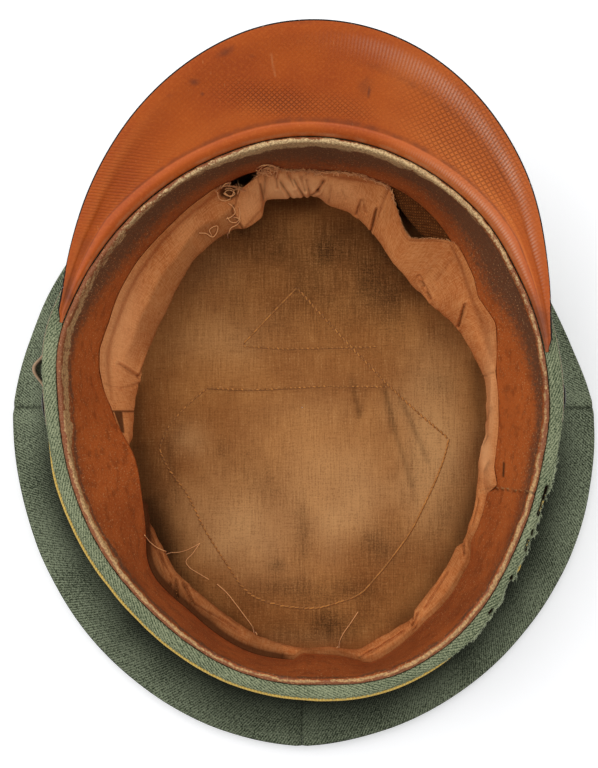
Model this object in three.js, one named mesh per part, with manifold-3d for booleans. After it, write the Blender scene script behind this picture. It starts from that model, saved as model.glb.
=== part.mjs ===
// Peaked cap lying upside down on its crown: head opening up, peak towards +Y. Millimetres, +Z up.
import * as THREE from "three";
import { mergeVertices } from "three/addons/utils/BufferGeometryUtils.js";
import Module from "manifold-3d";

const wasm = await Module();
wasm.setup();

// Driving dimensions
const GAP = 0.35;
const MERGE = 1e-3;

// The rim is an oval round the head opening. It rises a little towards the peak.
const RIM = { x: 0, y: -1.3, halfWidth: 89.6, halfLength: 99.8, height: 88, rise: 0.04 };

const CROWN = { cloth: 1.6, bandSeamUp: 44, widestUp: 10, topSeamUp: 4.6, topSeamIn: 3.6, sag: 0.85 };
const CROWN_TOP = { sides: 48, seamIn: 0.4 };
const CROWN_PANEL = { steps: 12, split: 0.16, underIn: 0.8, underShare: 0.6 };

const BAND = { cloth: 1.6, faceOut: 4.4, edgeOut: 0.2, edgeDrop: 0.6, stripOut: 5.0, stripDrop: 1.6,
  foldOut: 0.4, foldDrop: 0.9, tuckDrop: 1.6, sides: 52 };
const PIPING = { radius: 0.65, out: 5.4, drop: 4.4, sides: 52, facets: 6 };
const BACK = { firstTurn: 184, lastTurn: 315, blend: 12, pipingOut: 1.0, pipingRise: 0.6, stripOut: 0.3 };
const STIFFENER = { innerOut: 1.2, outerOut: 2.4, topDrop: 3.2, footUp: 46.5, sides: 48 };

const LEATHER = { width: 44, thick: 1.4, seamTurn: 341, seamSplit: 0.18, bow: 1.15, sides: 56 };
const LEATHER_ROLL = { wide: 2.6, rise: 1.0, topDrop: 1.0, tuckDrop: 2.2 };
const LINING = { thick: 1.0, onLeather: 0.5, lip: 2, lipIn: 0.5, foldUp: 36, foldDrop: 4,
  footUp: 5.6, footOut: 1.5, sides: 96 };
const GATHER = { turn: 90, spread: 32, pitch: 9, depth: 1.1 };
const FLOOR = { up: 2.2, edgeUp: 5.1, edgeIn: 0.3, sag: 0.5, sides: 48 };

const PEAK = { turn: 87, halfTurn: 75, reach: 35.2, corner: 2.0, taper: 1.36, slope: 0.84, cornerSlope: 0.55,
  thick: 2.4, edge: 1.3, lift: 1.5, innerOut: 0.5, fadeReach: 14, sides: 34 };
const PEAK_ROLL = { wide: 5.6, rise: 1.3 };
const PEAK_BEAD = { in: 4.6, rise: 0.8, crease: 0.92 };

const STRAP = { firstTurn: -2.4, lastTurn: 183.2, step: 6, wide: 14, thick: 1.6, drop: 8 };
const KINK = { turn: 172.3, halfTurn: 3.2, out: 3.6, sharpness: 1.5, steps: 8 };
const STUD = { rightTurn: 2.6, leftTurn: 179, headRadius: 4.5, headThick: 1.1, shankRadius: 1.5, sides: 12 };
const DRILL_LENGTH = 12;

// Shape of the cap round the rim, in mm, by turn angle: 0 is the right side, 90 the peak, 270 the back.
// rim: how far the rim stands outside the plain oval. crown: how far the crown does at its widest.
// leather: how far the sweatband's free edge leans in. fold: how far the lining's fold hangs in.
// over: how far the lining's upper edge lies up on the leather, or hangs below it where negative.
const ROUND = [
  { turn: 0, rim: 0.5, crown: 26.2, leather: 15.0, fold: 17.1, over: 3.0 },
  { turn: 12, rim: 0.9, crown: 20.0, leather: 13.6, fold: 20.0, over: 3.0 },
  { turn: 22, rim: 0.8, crown: 16.6, leather: 13.4, fold: 22.6, over: 9.0 },
  { turn: 31, rim: 0.8, crown: 15.5, leather: 13.2, fold: 26.0, over: 3.0 },
  { turn: 42, rim: 1.5, crown: 15.0, leather: 9.6, fold: 30.0, over: 3.0 },
  { turn: 53, rim: 1.2, crown: 14.5, leather: 6.8, fold: 29.8, over: -9.0 },
  { turn: 66, rim: 0.7, crown: 14.0, leather: 6.0, fold: 24.6, over: 2.0 },
  { turn: 80, rim: 0.1, crown: 14.0, leather: 8.2, fold: 19.2, over: 2.5 },
  { turn: 95, rim: -0.5, crown: 14.0, leather: 7.4, fold: 17.6, over: 3.0 },
  { turn: 110, rim: -1.3, crown: 14.4, leather: 8.4, fold: 23.0, over: 2.5 },
  { turn: 125, rim: -1.0, crown: 15.0, leather: 9.6, fold: 24.0, over: 3.5 },
  { turn: 140, rim: 0.1, crown: 16.6, leather: 10.6, fold: 26.4, over: 4.0 },
  { turn: 155, rim: 1.5, crown: 19.6, leather: 11.2, fold: 26.8, over: 4.0 },
  { turn: 166, rim: 2.4, crown: 22.2, leather: 11.6, fold: 25.6, over: 4.5 },
  { turn: 180, rim: -0.6, crown: 26.2, leather: 16.0, fold: 23.4, over: 1.0 },
  { turn: 195, rim: -2.3, crown: 27.1, leather: 23.0, fold: 21.6, over: -2.0 },
  { turn: 210, rim: -3.4, crown: 28.6, leather: 19.6, fold: 18.3, over: -2.0 },
  { turn: 225, rim: -4.0, crown: 30.5, leather: 11.5, fold: 14.5, over: -1.6 },
  { turn: 240, rim: -2.9, crown: 31.9, leather: 6.8, fold: 13.0, over: -1.6 },
  { turn: 255, rim: -1.2, crown: 33.8, leather: 4.8, fold: 10.0, over: -1.6 },
  { turn: 270, rim: 0.3, crown: 35.3, leather: 4.6, fold: 6.4, over: -1.6 },
  { turn: 285, rim: 2.6, crown: 33.4, leather: 2.2, fold: 4.4, over: -1.6 },
  { turn: 300, rim: 3.0, crown: 32.2, leather: 4.4, fold: 5.4, over: -1.6 },
  { turn: 315, rim: 1.1, crown: 31.5, leather: 8.7, fold: 11.0, over: -1.6 },
  { turn: 330, rim: -0.8, crown: 30.5, leather: 10.6, fold: 13.0, over: -1.6 },
  { turn: 345, rim: -1.2, crown: 28.7, leather: 14.2, fold: 17.6, over: 1.5 },
];

// Top panel of the crown, from its middle to its seam: it lies flat, then curls up to meet the side panels
const TOP_CURL = [
  { share: 0, up: 0 },
  { share: 0.86, up: 0 },
  { share: 0.94, up: 0.7 },
  { share: 0.98, up: 2.0 },
  { share: 1, up: CROWN.topSeamUp - GAP },
];

// Lining floor, from its middle to its edge
const FLOOR_WAVE = [
  { share: 0, up: FLOOR.up + LINING.thick },
  { share: 0.5, up: FLOOR.up + LINING.thick + FLOOR.sag },
  { share: 0.9, up: FLOOR.up + LINING.thick },
  { share: 1, up: FLOOR.edgeUp },
];

const { lerp, degToRad, smoothstep, euclideanModulo } = THREE.MathUtils;

// A column of the table as a smooth function of the turn angle, closed all the way round
function column(name) {
  const count = ROUND.length;
  const row = (i) => {
    const lap = Math.floor(i / count);
    const entry = ROUND[i - lap * count];
    return { turn: entry.turn + 360 * lap, value: entry[name] };
  };
  const slope = (i) => (row(i + 1).value - row(i - 1).value) / (row(i + 1).turn - row(i - 1).turn);
  return (turn) => {
    const wrapped = euclideanModulo(turn, 360);
    let i = count - 1;
    while (row(i).turn > wrapped) i -= 1;
    const span = row(i + 1).turn - row(i).turn;
    const u = (wrapped - row(i).turn) / span;
    const rest = 1 - u;
    return row(i).value * rest * rest * (1 + 2 * u) + row(i + 1).value * u * u * (3 - 2 * u)
      + slope(i) * span * u * rest * rest - slope(i + 1) * span * u * u * rest;
  };
}

const rimOut = column("rim");
const crownOut = column("crown");
const leatherIn = column("leather");
const foldIn = column("fold");
const liningOver = column("over");

const rimUp = (turn) => RIM.height + RIM.rise * RIM.halfLength * Math.sin(degToRad(turn));

function spreadTurns(first, last, steps) {
  return Array.from({ length: steps + 1 }, (_, i) => lerp(first, last, i / steps));
}

const evenTurns = (count) => spreadTurns(0, 360, count).slice(0, count);

// 1 round the back, where the piping stands clear of the turned strip, and 0 at the sides and front
function clearOfStrip(turn) {
  const wrapped = euclideanModulo(turn, 360);
  return smoothstep(wrapped, BACK.firstTurn, BACK.firstTurn + BACK.blend)
    * (1 - smoothstep(wrapped, BACK.lastTurn - BACK.blend, BACK.lastTurn));
}

// Half the width of the plain oval at a turn angle, and the point so far outside it and so far up
function ovalReach(turn) {
  const angle = degToRad(turn);
  return Math.hypot(RIM.halfWidth * Math.cos(angle), RIM.halfLength * Math.sin(angle));
}

function place(turn, out, up) {
  const angle = degToRad(turn);
  const scale = 1 + out / ovalReach(turn);
  return new THREE.Vector3(
    RIM.x + RIM.halfWidth * Math.cos(angle) * scale,
    RIM.y + RIM.halfLength * Math.sin(angle) * scale,
    up,
  );
}

// The other face of a wall: each profile point moved by the thickness to the right of the way it runs
function otherFace(profile, thick) {
  return profile.map(({ out, up }, i) => {
    const before = profile[Math.max(i - 1, 0)];
    const after = profile[Math.min(i + 1, profile.length - 1)];
    const side = new THREE.Vector2(after.up - before.up, before.out - after.out).setLength(thick);
    return { out: out + side.x, up: up + side.y };
  });
}

// Closed solid from points and triangles: shared points are merged, flat triangles dropped, faces turned out
function solid(points, triangles) {
  const loose = new THREE.BufferGeometry().setFromPoints(points);
  loose.setIndex(triangles.flat());
  const merged = mergeVertices(loose, MERGE);
  const corner = (i) => new THREE.Vector3().fromBufferAttribute(merged.attributes.position, i);
  const kept = [];
  let volume = 0;
  for (let i = 0; i < merged.index.count; i += 3) {
    const [a, b, c] = [0, 1, 2].map((k) => merged.index.getX(i + k));
    if (a === b || b === c || c === a) continue;
    kept.push([a, b, c]);
    volume += corner(a).dot(corner(b).cross(corner(c)));
  }
  merged.setIndex(kept.flatMap(([a, b, c]) => (volume < 0 ? [a, c, b] : [a, b, c])));
  merged.computeVertexNormals();
  return merged;
}

// Wall lofted through sections at turn angles. Each section has a face and a back with as many points.
function loft(turns, sectionAt, closed) {
  const rings = turns.map((turn) => {
    const { face, back } = sectionAt(turn);
    return [...face, ...back.toReversed()].map(({ out, up }) => place(turn, out, up));
  });
  const width = rings[0].length;
  const triangles = [];
  const at = (i, j) => (i % turns.length) * width + (j % width);
  const quad = (a, b, c, d) => triangles.push([a, b, c], [a, c, d]);
  const spans = closed ? turns.length : turns.length - 1;
  for (let i = 0; i < spans; i += 1) {
    for (let j = 0; j < width; j += 1) quad(at(i, j), at(i + 1, j), at(i + 1, j + 1), at(i, j + 1));
  }
  const end = turns.length - 1;
  for (let j = 0; !closed && j < width / 2 - 1; j += 1) {
    quad(at(0, j), at(0, j + 1), at(0, width - 2 - j), at(0, width - 1 - j));
    quad(at(end, j), at(end, width - 1 - j), at(end, width - 2 - j), at(end, j + 1));
  }
  return solid(rings.flat(), triangles);
}

// Oval sheet from its middle out to an edge, its height given by shares of the way
function ovalSheet(sides, edgeOut, rows, thick, middleUp) {
  return loft(evenTurns(sides), (turn) => {
    const reach = ovalReach(turn);
    const face = rows.map(({ share, up }) => ({ out: (reach + edgeOut(turn)) * share - reach, up }));
    const back = otherFace(face, thick);
    back[0] = { out: face[0].out, up: middleUp };
    return { face, back };
  }, true);
}

// Crown: an oval top panel and four side panels
function crownTop() {
  const seamOut = (turn) => crownOut(turn) - CROWN.topSeamIn - CROWN_TOP.seamIn;
  return ovalSheet(CROWN_TOP.sides, seamOut, TOP_CURL, -CROWN.cloth, CROWN.cloth);
}

// Side of the crown: down from the band and out in a slack hollow to its widest, then in to the top's seam
function crownSide(turn) {
  const start = rimOut(turn) + BAND.faceOut - GAP;
  const widest = crownOut(turn);
  const hollow = [0, 0.2, 0.4, 0.6, 0.8, 1].map((share) => {
    const angle = (share * Math.PI) / 2;
    const outShare = lerp(share, 1 - Math.cos(angle), CROWN.sag);
    const downShare = lerp(share, Math.sin(angle), CROWN.sag);
    return { out: lerp(start, widest, outShare), up: lerp(CROWN.bandSeamUp, CROWN.widestUp, downShare) };
  });
  const under = [
    { out: widest - CROWN_PANEL.underIn, up: lerp(CROWN.widestUp, CROWN.topSeamUp, CROWN_PANEL.underShare) },
    { out: widest - CROWN.topSeamIn, up: CROWN.topSeamUp },
  ];
  const face = [...hollow, ...under];
  return { face, back: otherFace(face, CROWN.cloth) };
}

function crownPanel(firstTurn, lastTurn) {
  const turns = spreadTurns(firstTurn + CROWN_PANEL.split, lastTurn - CROWN_PANEL.split, CROWN_PANEL.steps);
  return loft(turns, crownSide, false);
}

// Band cloth: its lower edge is turned in over the rim as a strip, then it runs down to the crown
function bandSection(turn) {
  const edge = { out: rimOut(turn) + BAND.edgeOut, up: rimUp(turn) - BAND.edgeDrop };
  const strip = {
    out: rimOut(turn) + BAND.stripOut + BACK.stripOut * clearOfStrip(turn),
    up: rimUp(turn) - BAND.stripDrop,
  };
  const outer = rimOut(turn) + BAND.faceOut;
  const inner = outer - BAND.cloth;
  const foot = CROWN.bandSeamUp + GAP;
  const tuck = strip.up - BAND.tuckDrop;
  const middle = lerp(foot, tuck, 0.5);
  const face = [
    edge,
    { out: lerp(edge.out, strip.out, 0.5), up: lerp(edge.up, strip.up, 0.4) },
    strip,
    { out: strip.out + BAND.foldOut, up: strip.up - BAND.foldDrop },
    { out: outer, up: tuck },
    { out: outer, up: middle },
    { out: outer, up: foot },
  ];
  const under = lerp(edge.up, strip.up, 0.5) - BAND.cloth;
  const back = [
    { out: edge.out, up: edge.up - BAND.cloth },
    { out: lerp(edge.out, inner, 0.5), up: lerp(edge.up - BAND.cloth, under, 0.5) },
    { out: inner, up: under },
    { out: inner, up: lerp(under, tuck, 0.3) },
    { out: inner, up: lerp(under, tuck, 0.6) },
    { out: inner, up: middle },
    { out: inner, up: foot },
  ];
  return { face, back };
}

function pipingSection(turn) {
  const middle = {
    out: rimOut(turn) + PIPING.out + BACK.pipingOut * clearOfStrip(turn),
    up: rimUp(turn) - PIPING.drop + BACK.pipingRise * clearOfStrip(turn),
  };
  const corners = Array.from({ length: PIPING.facets }, (_, i) => {
    const angle = (2 * Math.PI * (i + 0.5)) / PIPING.facets;
    return {
      out: middle.out + PIPING.radius * Math.cos(angle),
      up: middle.up + PIPING.radius * Math.sin(angle),
    };
  });
  const half = PIPING.facets / 2;
  return { face: corners.slice(0, half), back: corners.slice(half).toReversed() };
}

function stiffenerSection(turn) {
  const ends = [STIFFENER.footUp, rimUp(turn) - STIFFENER.topDrop];
  return {
    face: ends.map((up) => ({ out: rimOut(turn) + STIFFENER.outerOut, up })),
    back: ends.map((up) => ({ out: rimOut(turn) + STIFFENER.innerOut, up })),
  };
}

// Sweatband: where it leaves the rim, and its free lower edge
function leatherEnds(turn) {
  const start = { out: rimOut(turn) - LEATHER_ROLL.wide, up: rimUp(turn) - LEATHER_ROLL.topDrop };
  const lean = start.out + leatherIn(turn);
  const edge = { out: -leatherIn(turn), up: start.up - Math.sqrt(LEATHER.width ** 2 - lean ** 2) };
  return { start, edge };
}

function leatherSection(turn) {
  const { start, edge } = leatherEnds(turn);
  const rim = rimOut(turn) - GAP;
  const crest = rimUp(turn) + LEATHER_ROLL.rise;
  const roll = [
    { out: lerp(rim, start.out, 0.1), up: lerp(crest, start.up, 0.45) },
    { out: lerp(rim, start.out, 0.45), up: crest },
    { out: lerp(rim, start.out, 0.85), up: lerp(crest, start.up, 0.3) },
  ];
  const lean = [0, 0.3, 0.65, 1].map((share) => ({
    out: lerp(start.out, edge.out, share ** LEATHER.bow),
    up: lerp(start.up, edge.up, share),
  }));
  const tuck = rimUp(turn) - LEATHER_ROLL.tuckDrop;
  const tucked = [
    { out: roll[0].out, up: tuck },
    { out: lerp(rim, start.out, 0.25), up: tuck - 0.3 * LEATHER.thick },
    { out: lerp(rim, start.out, 0.4), up: tuck - 0.7 * LEATHER.thick },
    { out: start.out + LEATHER.thick, up: tuck - 1.4 * LEATHER.thick },
  ];
  const face = [...roll, ...lean];
  return { face, back: [...tucked, ...otherFace(face, -LEATHER.thick).slice(tucked.length)] };
}

// Lining wall: gathered along the front, its upper edge on the leather, its fold hanging in, its foot below
function gather(turn) {
  const off = turn - GATHER.turn;
  const strength = GATHER.depth * Math.exp(-((off / GATHER.spread) ** 4));
  return strength * Math.cos((2 * Math.PI * off) / GATHER.pitch);
}

function liningSection(turn) {
  const { start, edge } = leatherEnds(turn);
  const along = new THREE.Vector2(start.out - edge.out, start.up - edge.up).normalize();
  const onLeather = (rise, clear) => ({
    out: edge.out + along.x * rise - along.y * clear,
    up: edge.up + along.y * rise + along.x * clear,
  });
  const over = liningOver(turn);
  const clear = LINING.onLeather + LINING.thick;
  const upper = onLeather(over, clear);
  const lip = onLeather(Math.min(over, 0) - LINING.lip, clear + LINING.lipIn);
  const fold = {
    out: Math.min(-foldIn(turn), lip.out - LINING.lipIn) + gather(turn),
    up: Math.min(LINING.foldUp, lip.up - LINING.foldDrop),
  };
  const foot = { out: rimOut(turn) + LINING.footOut, up: LINING.footUp };
  const face = [
    upper,
    lip,
    { out: lerp(lip.out, fold.out, 0.75), up: lerp(lip.up, fold.up, 0.7) },
    { out: fold.out, up: lerp(fold.up, foot.up, 0.08) },
    { out: lerp(fold.out, foot.out, 0.12), up: lerp(fold.up, foot.up, 0.24) },
    { out: lerp(fold.out, foot.out, 0.5), up: lerp(fold.up, foot.up, 0.55) },
    foot,
  ];
  return { face, back: otherFace(face, -LINING.thick) };
}

function liningTop() {
  const edgeOut = (turn) => rimOut(turn) + LINING.footOut - FLOOR.edgeIn;
  return ovalSheet(FLOOR.sides, edgeOut, FLOOR_WAVE, LINING.thick, FLOOR.up);
}

// Peak: rolled along the rim, sloping up and out to a beaded edge. It narrows to its two corners.
function peakSection(turn) {
  const across = (turn - PEAK.turn) / PEAK.halfTurn;
  const share = Math.cos((Math.PI / 2) * across) ** PEAK.taper;
  const reach = lerp(PEAK.corner, PEAK.reach, share);
  const slope = lerp(PEAK.cornerSlope, PEAK.slope, share);
  const fade = Math.min(1, reach / PEAK.fadeReach);
  const roll = PEAK_ROLL.wide * fade;
  const bead = reach - PEAK_BEAD.in * fade;
  const at = (along, lift) => ({
    out: rimOut(turn) + PEAK.innerOut + along,
    up: rimUp(turn) + PEAK.lift + slope * along + lift * fade,
  });
  const rows = [
    { along: 0, lift: 0 },
    { along: roll * 0.25, lift: PEAK_ROLL.rise * 0.8 },
    { along: roll * 0.55, lift: PEAK_ROLL.rise },
    { along: roll, lift: 0 },
    { along: lerp(roll, bead, 0.5), lift: 0 },
    { along: lerp(roll, bead, PEAK_BEAD.crease), lift: 0 },
    { along: bead, lift: PEAK_BEAD.rise },
    { along: reach, lift: 0 },
  ];
  const downwards = new THREE.Vector2(slope, -1).normalize();
  const back = rows.map(({ along }) => {
    const thick = lerp(PEAK.thick, PEAK.edge, along / reach) * fade;
    const { out, up } = at(along, 0);
    return { out: out + thick * downwards.x, up: up + thick * downwards.y };
  });
  return { face: rows.map(({ along, lift }) => at(along, lift)), back };
}

// Chin strap: flat on the band round the front, kinked outwards near its left end, with a hole at each stud
function strapTurns() {
  const kinkFirst = KINK.turn - KINK.halfTurn;
  const kinkLast = KINK.turn + KINK.halfTurn;
  const frontSteps = Math.round((kinkFirst - STRAP.firstTurn) / STRAP.step);
  return [
    ...spreadTurns(STRAP.firstTurn, kinkFirst, frontSteps),
    ...spreadTurns(kinkFirst, kinkLast, KINK.steps).slice(1),
    ...spreadTurns(kinkLast, STRAP.lastTurn, 3).slice(1),
  ];
}

function strapSection(turn) {
  const off = Math.min(1, Math.abs(turn - KINK.turn) / KINK.halfTurn);
  const kink = KINK.out * Math.cos((Math.PI / 2) * off) ** KINK.sharpness;
  const inner = rimOut(turn) + BAND.faceOut + GAP + kink;
  const top = rimUp(turn) - STRAP.drop;
  const edges = [top, top - STRAP.wide];
  return {
    face: edges.map((up) => ({ out: inner + STRAP.thick, up })),
    back: edges.map((up) => ({ out: inner, up })),
  };
}

// Puts an object that points along its own +Y on the band, at mid strap, pointing outwards
function seatOnBand(object, turn) {
  const up = rimUp(turn) - STRAP.drop - STRAP.wide / 2;
  const seat = (angle) => place(angle, rimOut(angle) + BAND.faceOut + GAP, up);
  const alongBand = seat(turn + 1).sub(seat(turn - 1)).normalize();
  const outwards = alongBand.cross(new THREE.Vector3(0, 0, 1));
  object.position.copy(seat(turn));
  object.quaternion.setFromUnitVectors(new THREE.Vector3(0, 1, 0), outwards);
  object.updateMatrix();
}

// The bare shape of a geometry, with its shared points merged
function bare(geometry) {
  const copy = geometry.clone();
  copy.deleteAttribute("normal");
  copy.deleteAttribute("uv");
  return mergeVertices(copy, MERGE);
}

function toManifold(geometry) {
  const plain = bare(geometry);
  return new wasm.Manifold(new wasm.Mesh({
    numProp: 3,
    vertProperties: new Float32Array(plain.attributes.position.array),
    triVerts: new Uint32Array(plain.index.array),
  }));
}

function fromManifold(body) {
  const mesh = body.getMesh();
  const geometry = new THREE.BufferGeometry();
  geometry.setAttribute("position", new THREE.BufferAttribute(mesh.vertProperties, 3));
  geometry.setIndex([...mesh.triVerts]);
  geometry.computeVertexNormals();
  return geometry;
}

function chinStrap() {
  const holeRadius = STUD.shankRadius + GAP;
  let body = toManifold(loft(strapTurns(), strapSection, false));
  for (const turn of [STUD.rightTurn, STUD.leftTurn]) {
    const cylinder = new THREE.CylinderGeometry(holeRadius, holeRadius, DRILL_LENGTH, STUD.sides);
    const drill = new THREE.Mesh(cylinder);
    seatOnBand(drill, turn);
    body = body.subtract(toManifold(cylinder.applyMatrix4(drill.matrix)));
  }
  return fromManifold(body);
}

// Stud: low domed head outside the strap, with a shank through the strap to the band
function stud() {
  const shank = STRAP.thick + GAP;
  const profile = [
    { radius: 0, along: 0 },
    { radius: STUD.shankRadius, along: 0 },
    { radius: STUD.shankRadius, along: shank },
    { radius: STUD.headRadius, along: shank },
    { radius: STUD.headRadius, along: shank + STUD.headThick * 0.4 },
    { radius: STUD.headRadius * 0.7, along: shank + STUD.headThick * 0.85 },
    { radius: 0, along: shank + STUD.headThick },
  ];
  const points = profile.map(({ radius, along }) => new THREE.Vector2(radius, along));
  return bare(new THREE.LatheGeometry(points, STUD.sides));
}

// Colours and finish
const MATERIALS = {
  greenWool: { color: 0x5e6852, roughness: 0.95 },
  bandWool: { color: 0x7a8060, roughness: 0.95 },
  yellowCloth: { color: 0xc79a3a, roughness: 0.9 },
  canvas: { color: 0x4a3522, roughness: 0.95 },
  brownLeather: { color: 0x7c4222, roughness: 0.6 },
  cotton: { color: 0xae6e42, roughness: 0.95 },
  linen: { color: 0x8e5f36, roughness: 0.95 },
  lacquer: { color: 0xa0481c, roughness: 0.45 },
  blackLeather: { color: 0x1c1a18, roughness: 0.5 },
  darkMetal: { color: 0x3a3a38, roughness: 0.45, metalness: 0.8 },
};

// The cap
const cap = new THREE.Group();

function add(name, geometry, material) {
  const mesh = new THREE.Mesh(geometry, new THREE.MeshStandardMaterial(MATERIALS[material]));
  mesh.name = name;
  cap.add(mesh);
  return mesh;
}

add("crown_top", crownTop(), "greenWool");
const panels = [
  { name: "crown_panel_front_right", from: 0, to: 90 },
  { name: "crown_panel_front_left", from: 90, to: 180 },
  { name: "crown_panel_back_left", from: 180, to: 270 },
  { name: "crown_panel_back_right", from: 270, to: 360 },
];
for (const { name, from, to } of panels) add(name, crownPanel(from, to), "greenWool");

add("band", loft(evenTurns(BAND.sides), bandSection, true), "bandWool");
add("band_piping", loft(evenTurns(PIPING.sides), pipingSection, true), "yellowCloth");
add("band_stiffener", loft(evenTurns(STIFFENER.sides), stiffenerSection, true), "canvas");

const leatherFirst = LEATHER.seamTurn + LEATHER.seamSplit;
const leatherLast = LEATHER.seamTurn + 360 - LEATHER.seamSplit;
const leatherTurns = spreadTurns(leatherFirst, leatherLast, LEATHER.sides);
add("sweatband", loft(leatherTurns, leatherSection, false), "brownLeather");

add("lining_side", loft(evenTurns(LINING.sides), liningSection, true), "cotton");
add("lining_top", liningTop(), "linen");

const peakTurns = spreadTurns(PEAK.turn - PEAK.halfTurn, PEAK.turn + PEAK.halfTurn, PEAK.sides);
add("peak", loft(peakTurns, peakSection, false), "lacquer");

add("chin_strap", chinStrap(), "blackLeather");
seatOnBand(add("strap_stud_right", stud(), "darkMetal"), STUD.rightTurn);
seatOnBand(add("strap_stud_left", stud(), "darkMetal"), STUD.leftTurn);

export default cap;
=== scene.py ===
import math

import bmesh
import bpy
import numpy as np
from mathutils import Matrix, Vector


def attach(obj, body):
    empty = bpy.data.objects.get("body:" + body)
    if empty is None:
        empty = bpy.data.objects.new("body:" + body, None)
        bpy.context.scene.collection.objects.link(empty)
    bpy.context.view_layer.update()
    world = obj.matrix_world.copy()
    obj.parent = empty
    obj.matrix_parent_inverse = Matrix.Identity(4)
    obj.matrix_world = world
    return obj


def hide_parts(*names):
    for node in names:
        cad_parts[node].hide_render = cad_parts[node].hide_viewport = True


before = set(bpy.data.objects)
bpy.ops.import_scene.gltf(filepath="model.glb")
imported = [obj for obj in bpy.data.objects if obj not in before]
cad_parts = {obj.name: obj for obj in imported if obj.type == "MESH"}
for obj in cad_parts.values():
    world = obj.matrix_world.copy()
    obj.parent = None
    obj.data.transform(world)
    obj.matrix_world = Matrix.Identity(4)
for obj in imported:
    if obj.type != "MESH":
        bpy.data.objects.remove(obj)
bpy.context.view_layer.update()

# Sizes are in millimetres and turns in degrees.
# A turn of 0 is the right side, 90 the peak, 180 the left and 270 the back.
MM = 0.001
GAP = 0.35
RIM = {"y": -1.3, "half_width": 89.6, "half_length": 99.8, "height": 88.0, "rise": 0.04}
CROWN = {"cloth": 1.6, "band_seam_up": 44.0, "widest_up": 10.0, "top_seam_up": 4.6, "top_seam_in": 3.6,
         "sag": 0.85}
BAND = {"face_out": 4.4, "cloth": 1.6}
PIPING = {"radius": 0.65, "out": 5.4, "drop": 4.4}
BACK = {"first": 184, "last": 315, "blend": 12, "piping_out": 1.0, "piping_rise": 0.6, "strip_out": 0.3}
STIFFENER = {"inner": 1.2, "outer": 2.4, "drop": 3.2, "foot": 46.5}
LEATHER = {"width": 44.0, "thick": 1.4, "bow": 1.15, "roll": 2.6, "rise": 1.0, "drop": 1.0, "tuck": 2.2}
LINING = {"thick": 0.7, "clear": 1.4, "lip": 2.0, "lip_in": 0.5, "fold_up": 36.0, "fold_drop": 4.0,
          "foot_up": 5.6, "foot_out": 1.5}
PEAK = {"turn": 87.0, "half_turn": 75.0, "reach": 35.2, "corner": 2.0, "taper": 1.36, "slope": 0.84,
        "corner_slope": 0.55, "thick": 2.4, "edge": 1.3, "lift": 1.5, "inner_out": 0.5, "fade": 14.0,
        "roll": 5.6, "roll_rise": 1.3, "bead_in": 4.6, "bead_rise": 0.8}
STRAP = {"first": -2.4, "last": 183.2, "wide": 14.0, "thick": 1.6, "drop": 8.0}
KINK = {"turn": 172.3, "half_turn": 3.2, "out": 3.6, "sharpness": 1.5}
STUD_TURNS = {"strap_stud_right": 2.6, "strap_stud_left": 179.0}
STUD = {"head": 4.5, "rise": 1.1, "shank": 1.5}

# How many steps each piece is divided into round the cap or along it
TURNS = {"crown_panel": 150, "crown_top": 240, "band": 1200, "piping": 720, "stiffener": 480,
         "canvas_tab": 70, "leather": 900, "lining_front": 660, "lining_back": 380, "floor": 480,
         "peak": 520, "strap": 220, "kink": 60, "strap_end": 24, "stud": 40}

# The photograph's camera, straight above the cap: its place, its height and its focal length in pixels
VIEW = {"x": -1.28, "y": 8.19, "height": 838.0, "focal": 2055.0, "middle": (299.0, 384.0), "tall": 768.0,
        "sensor": 36.0}

# Round the cap: how far the rim and the crown stand outside the plain oval,
# and how far the leather's edge stands inside it
COLUMNS = ("turn", "rim", "crown", "leather")
ROUND = np.array([
    (0, 0.5, 26.2, 15), (12, 0.9, 20, 13.6), (22, 0.8, 16.6, 13.4), (31, 0.8, 15.5, 13.2),
    (42, 1.5, 15, 9.6), (53, 1.2, 14.5, 6.8), (66, 0.7, 14, 6), (80, 0.1, 14, 8.2), (95, -0.5, 14, 7.4),
    (110, -1.3, 14.4, 8.4), (125, -1, 15, 9.6), (140, 0.1, 16.6, 10.6), (155, 1.5, 19.6, 11.2),
    (166, 2.4, 22.2, 11.6), (180, -0.6, 26.2, 16), (195, -2.3, 27.1, 23), (210, -3.4, 28.6, 19.6),
    (225, -4, 30.5, 11.5), (240, -2.9, 31.9, 6.8), (255, -1.2, 33.8, 4.8), (270, 0.3, 35.3, 4.6),
    (285, 2.6, 33.4, 2.2), (300, 3, 32.2, 4.4), (315, 1.1, 31.5, 8.7), (330, -0.8, 30.5, 10.6),
    (345, -1.2, 28.7, 14.2),
])

# The lining as it shows from above: the share of the seen oval at its upper edge and at its hanging fold
SEEN_OVAL = {"middle": (302.5, 410.0), "half_wide": 245.5, "half_tall": 273.5}
LINING_EDGE = np.array([
    (0, 0.8), (10, 0.8), (15, 0.82), (22, 0.848), (30, 0.824), (35, 0.849), (41, 0.866), (44.5, 0.872),
    (46.5, 0.858), (49, 0.83), (52, 0.795), (55, 0.765), (58, 0.778), (61, 0.812), (64, 0.852),
    (66, 0.893), (75, 0.896), (80, 0.889), (85, 0.881), (94, 0.88), (96.5, 0.898), (99, 0.902),
    (101.5, 0.886), (103.5, 0.87), (105.5, 0.854), (107.5, 0.846), (109, 0.868), (110.5, 0.888),
    (114, 0.893), (118, 0.884), (128, 0.868), (150, 0.86), (158, 0.85), (165, 0.854), (170, 0.838),
    (175, 0.81), (180, 0.776), (340, 0.842), (345, 0.807), (350, 0.802),
])
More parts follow.
